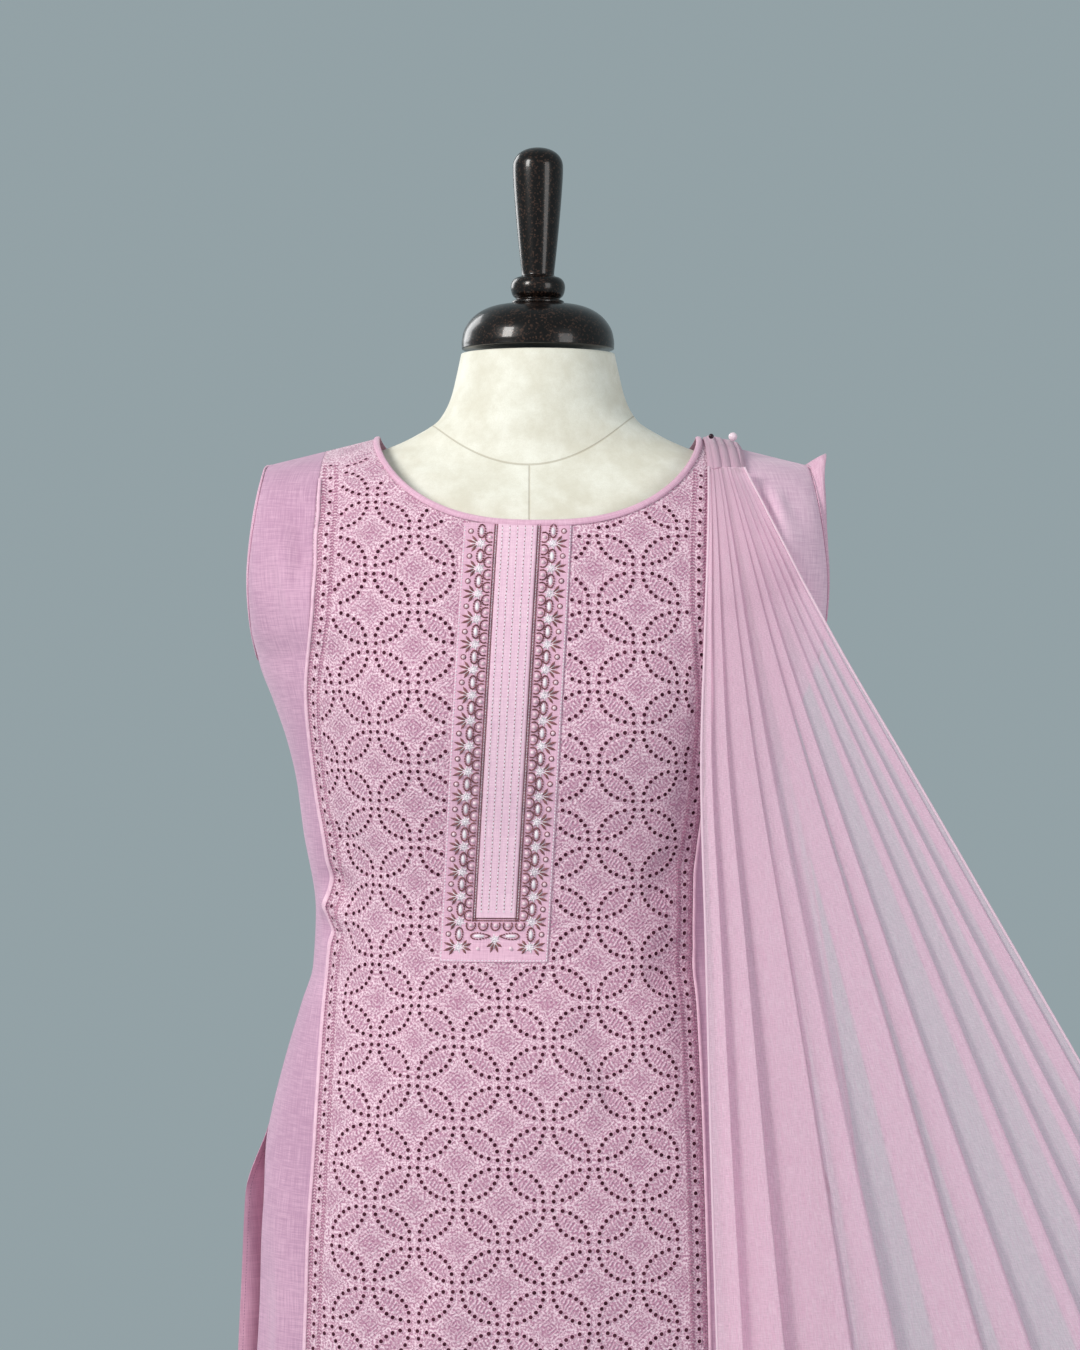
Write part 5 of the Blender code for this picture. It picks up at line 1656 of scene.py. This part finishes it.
for node, profile in (
    ("stand_pole", [(0.0, 0.7997), (0.0125, 0.7997), (0.0125, 0.0556), (0.0, 0.0556)]),
    ("stand_hub", [(0.0, 0.0553), (0.01984, 0.0553), (0.0224, 0.0533), (0.0243, 0.0333),
                   (0.032, 0.0163), (0.032, 0.0103), (0.0, 0.0103)]),
    ("stand_base", [(0.0, 0.010), (0.178, 0.010), (0.186, 0.0085), (0.190, 0.0055),
                    (0.190, 0.0015), (0.1885, 0.0), (0.0, 0.0)]),
):
    lathe(node + "_iron", profile, IRON, "iron", node, easings=0)

# ---------------------------------------------------------------- floor, light and camera

FLOOR_RADIUS = 2.1
FLOOR_SIDES = 96
turn = 2 * math.pi * np.arange(FLOOR_SIDES) / FLOOR_SIDES
floor_rim = FLOOR_RADIUS * np.stack([np.cos(turn), np.sin(turn), 0 * turn], axis=1)
floor = new_object(
    "floor", floor_rim, [tuple(range(FLOOR_SIDES))], floor_finish(), smooth_shade=False
)

bpy.context.scene.view_settings.view_transform = "Standard"
world = bpy.data.worlds.new("Studio")
bpy.context.scene.world = world
world.use_nodes = True
world.node_tree.nodes["Background"].inputs["Color"].default_value = tone(168, 184, 189)
world.node_tree.nodes["Background"].inputs["Strength"].default_value = 0.75


def area_light(name, place, target, size, power, colour=(1.0, 1.0, 1.0)):
    light = bpy.data.lights.new(name, "AREA")
    light.shape = "RECTANGLE"
    light.size, light.size_y = size
    light.energy = power
    light.color = colour
    obj = bpy.data.objects.new(name, light)
    obj.location = place
    aim = Vector(target) - Vector(place)
    obj.rotation_euler = aim.to_track_quat("-Z", "Y").to_euler()
    bpy.context.scene.collection.objects.link(obj)


area_light("Key", (-2.1, -1.9, 2.6), (0.0, 0.0, 1.15), (0.8, 1.2), 80, (1.0, 0.98, 0.94))
area_light("Fill", (2.2, -2.4, 1.7), (0.1, 0.0, 1.1), (1.2, 1.8), 30, (1.0, 0.97, 0.95))
area_light("Back left", (-1.8, 2.0, 2.4), (0.0, 0.0, 1.2), (1.2, 1.6), 26)

camera = bpy.data.cameras.new("Camera")
camera.sensor_fit = "VERTICAL"
camera.sensor_height = 36.0
camera.lens = 95.0
camera_object = bpy.data.objects.new("Camera", camera)
camera_object.location = (0.0015, -2.6, 1.246)
camera_object.rotation_euler = (math.pi / 2, 0.0, 0.0)
bpy.context.scene.collection.objects.link(camera_object)
bpy.context.scene.camera = camera_object
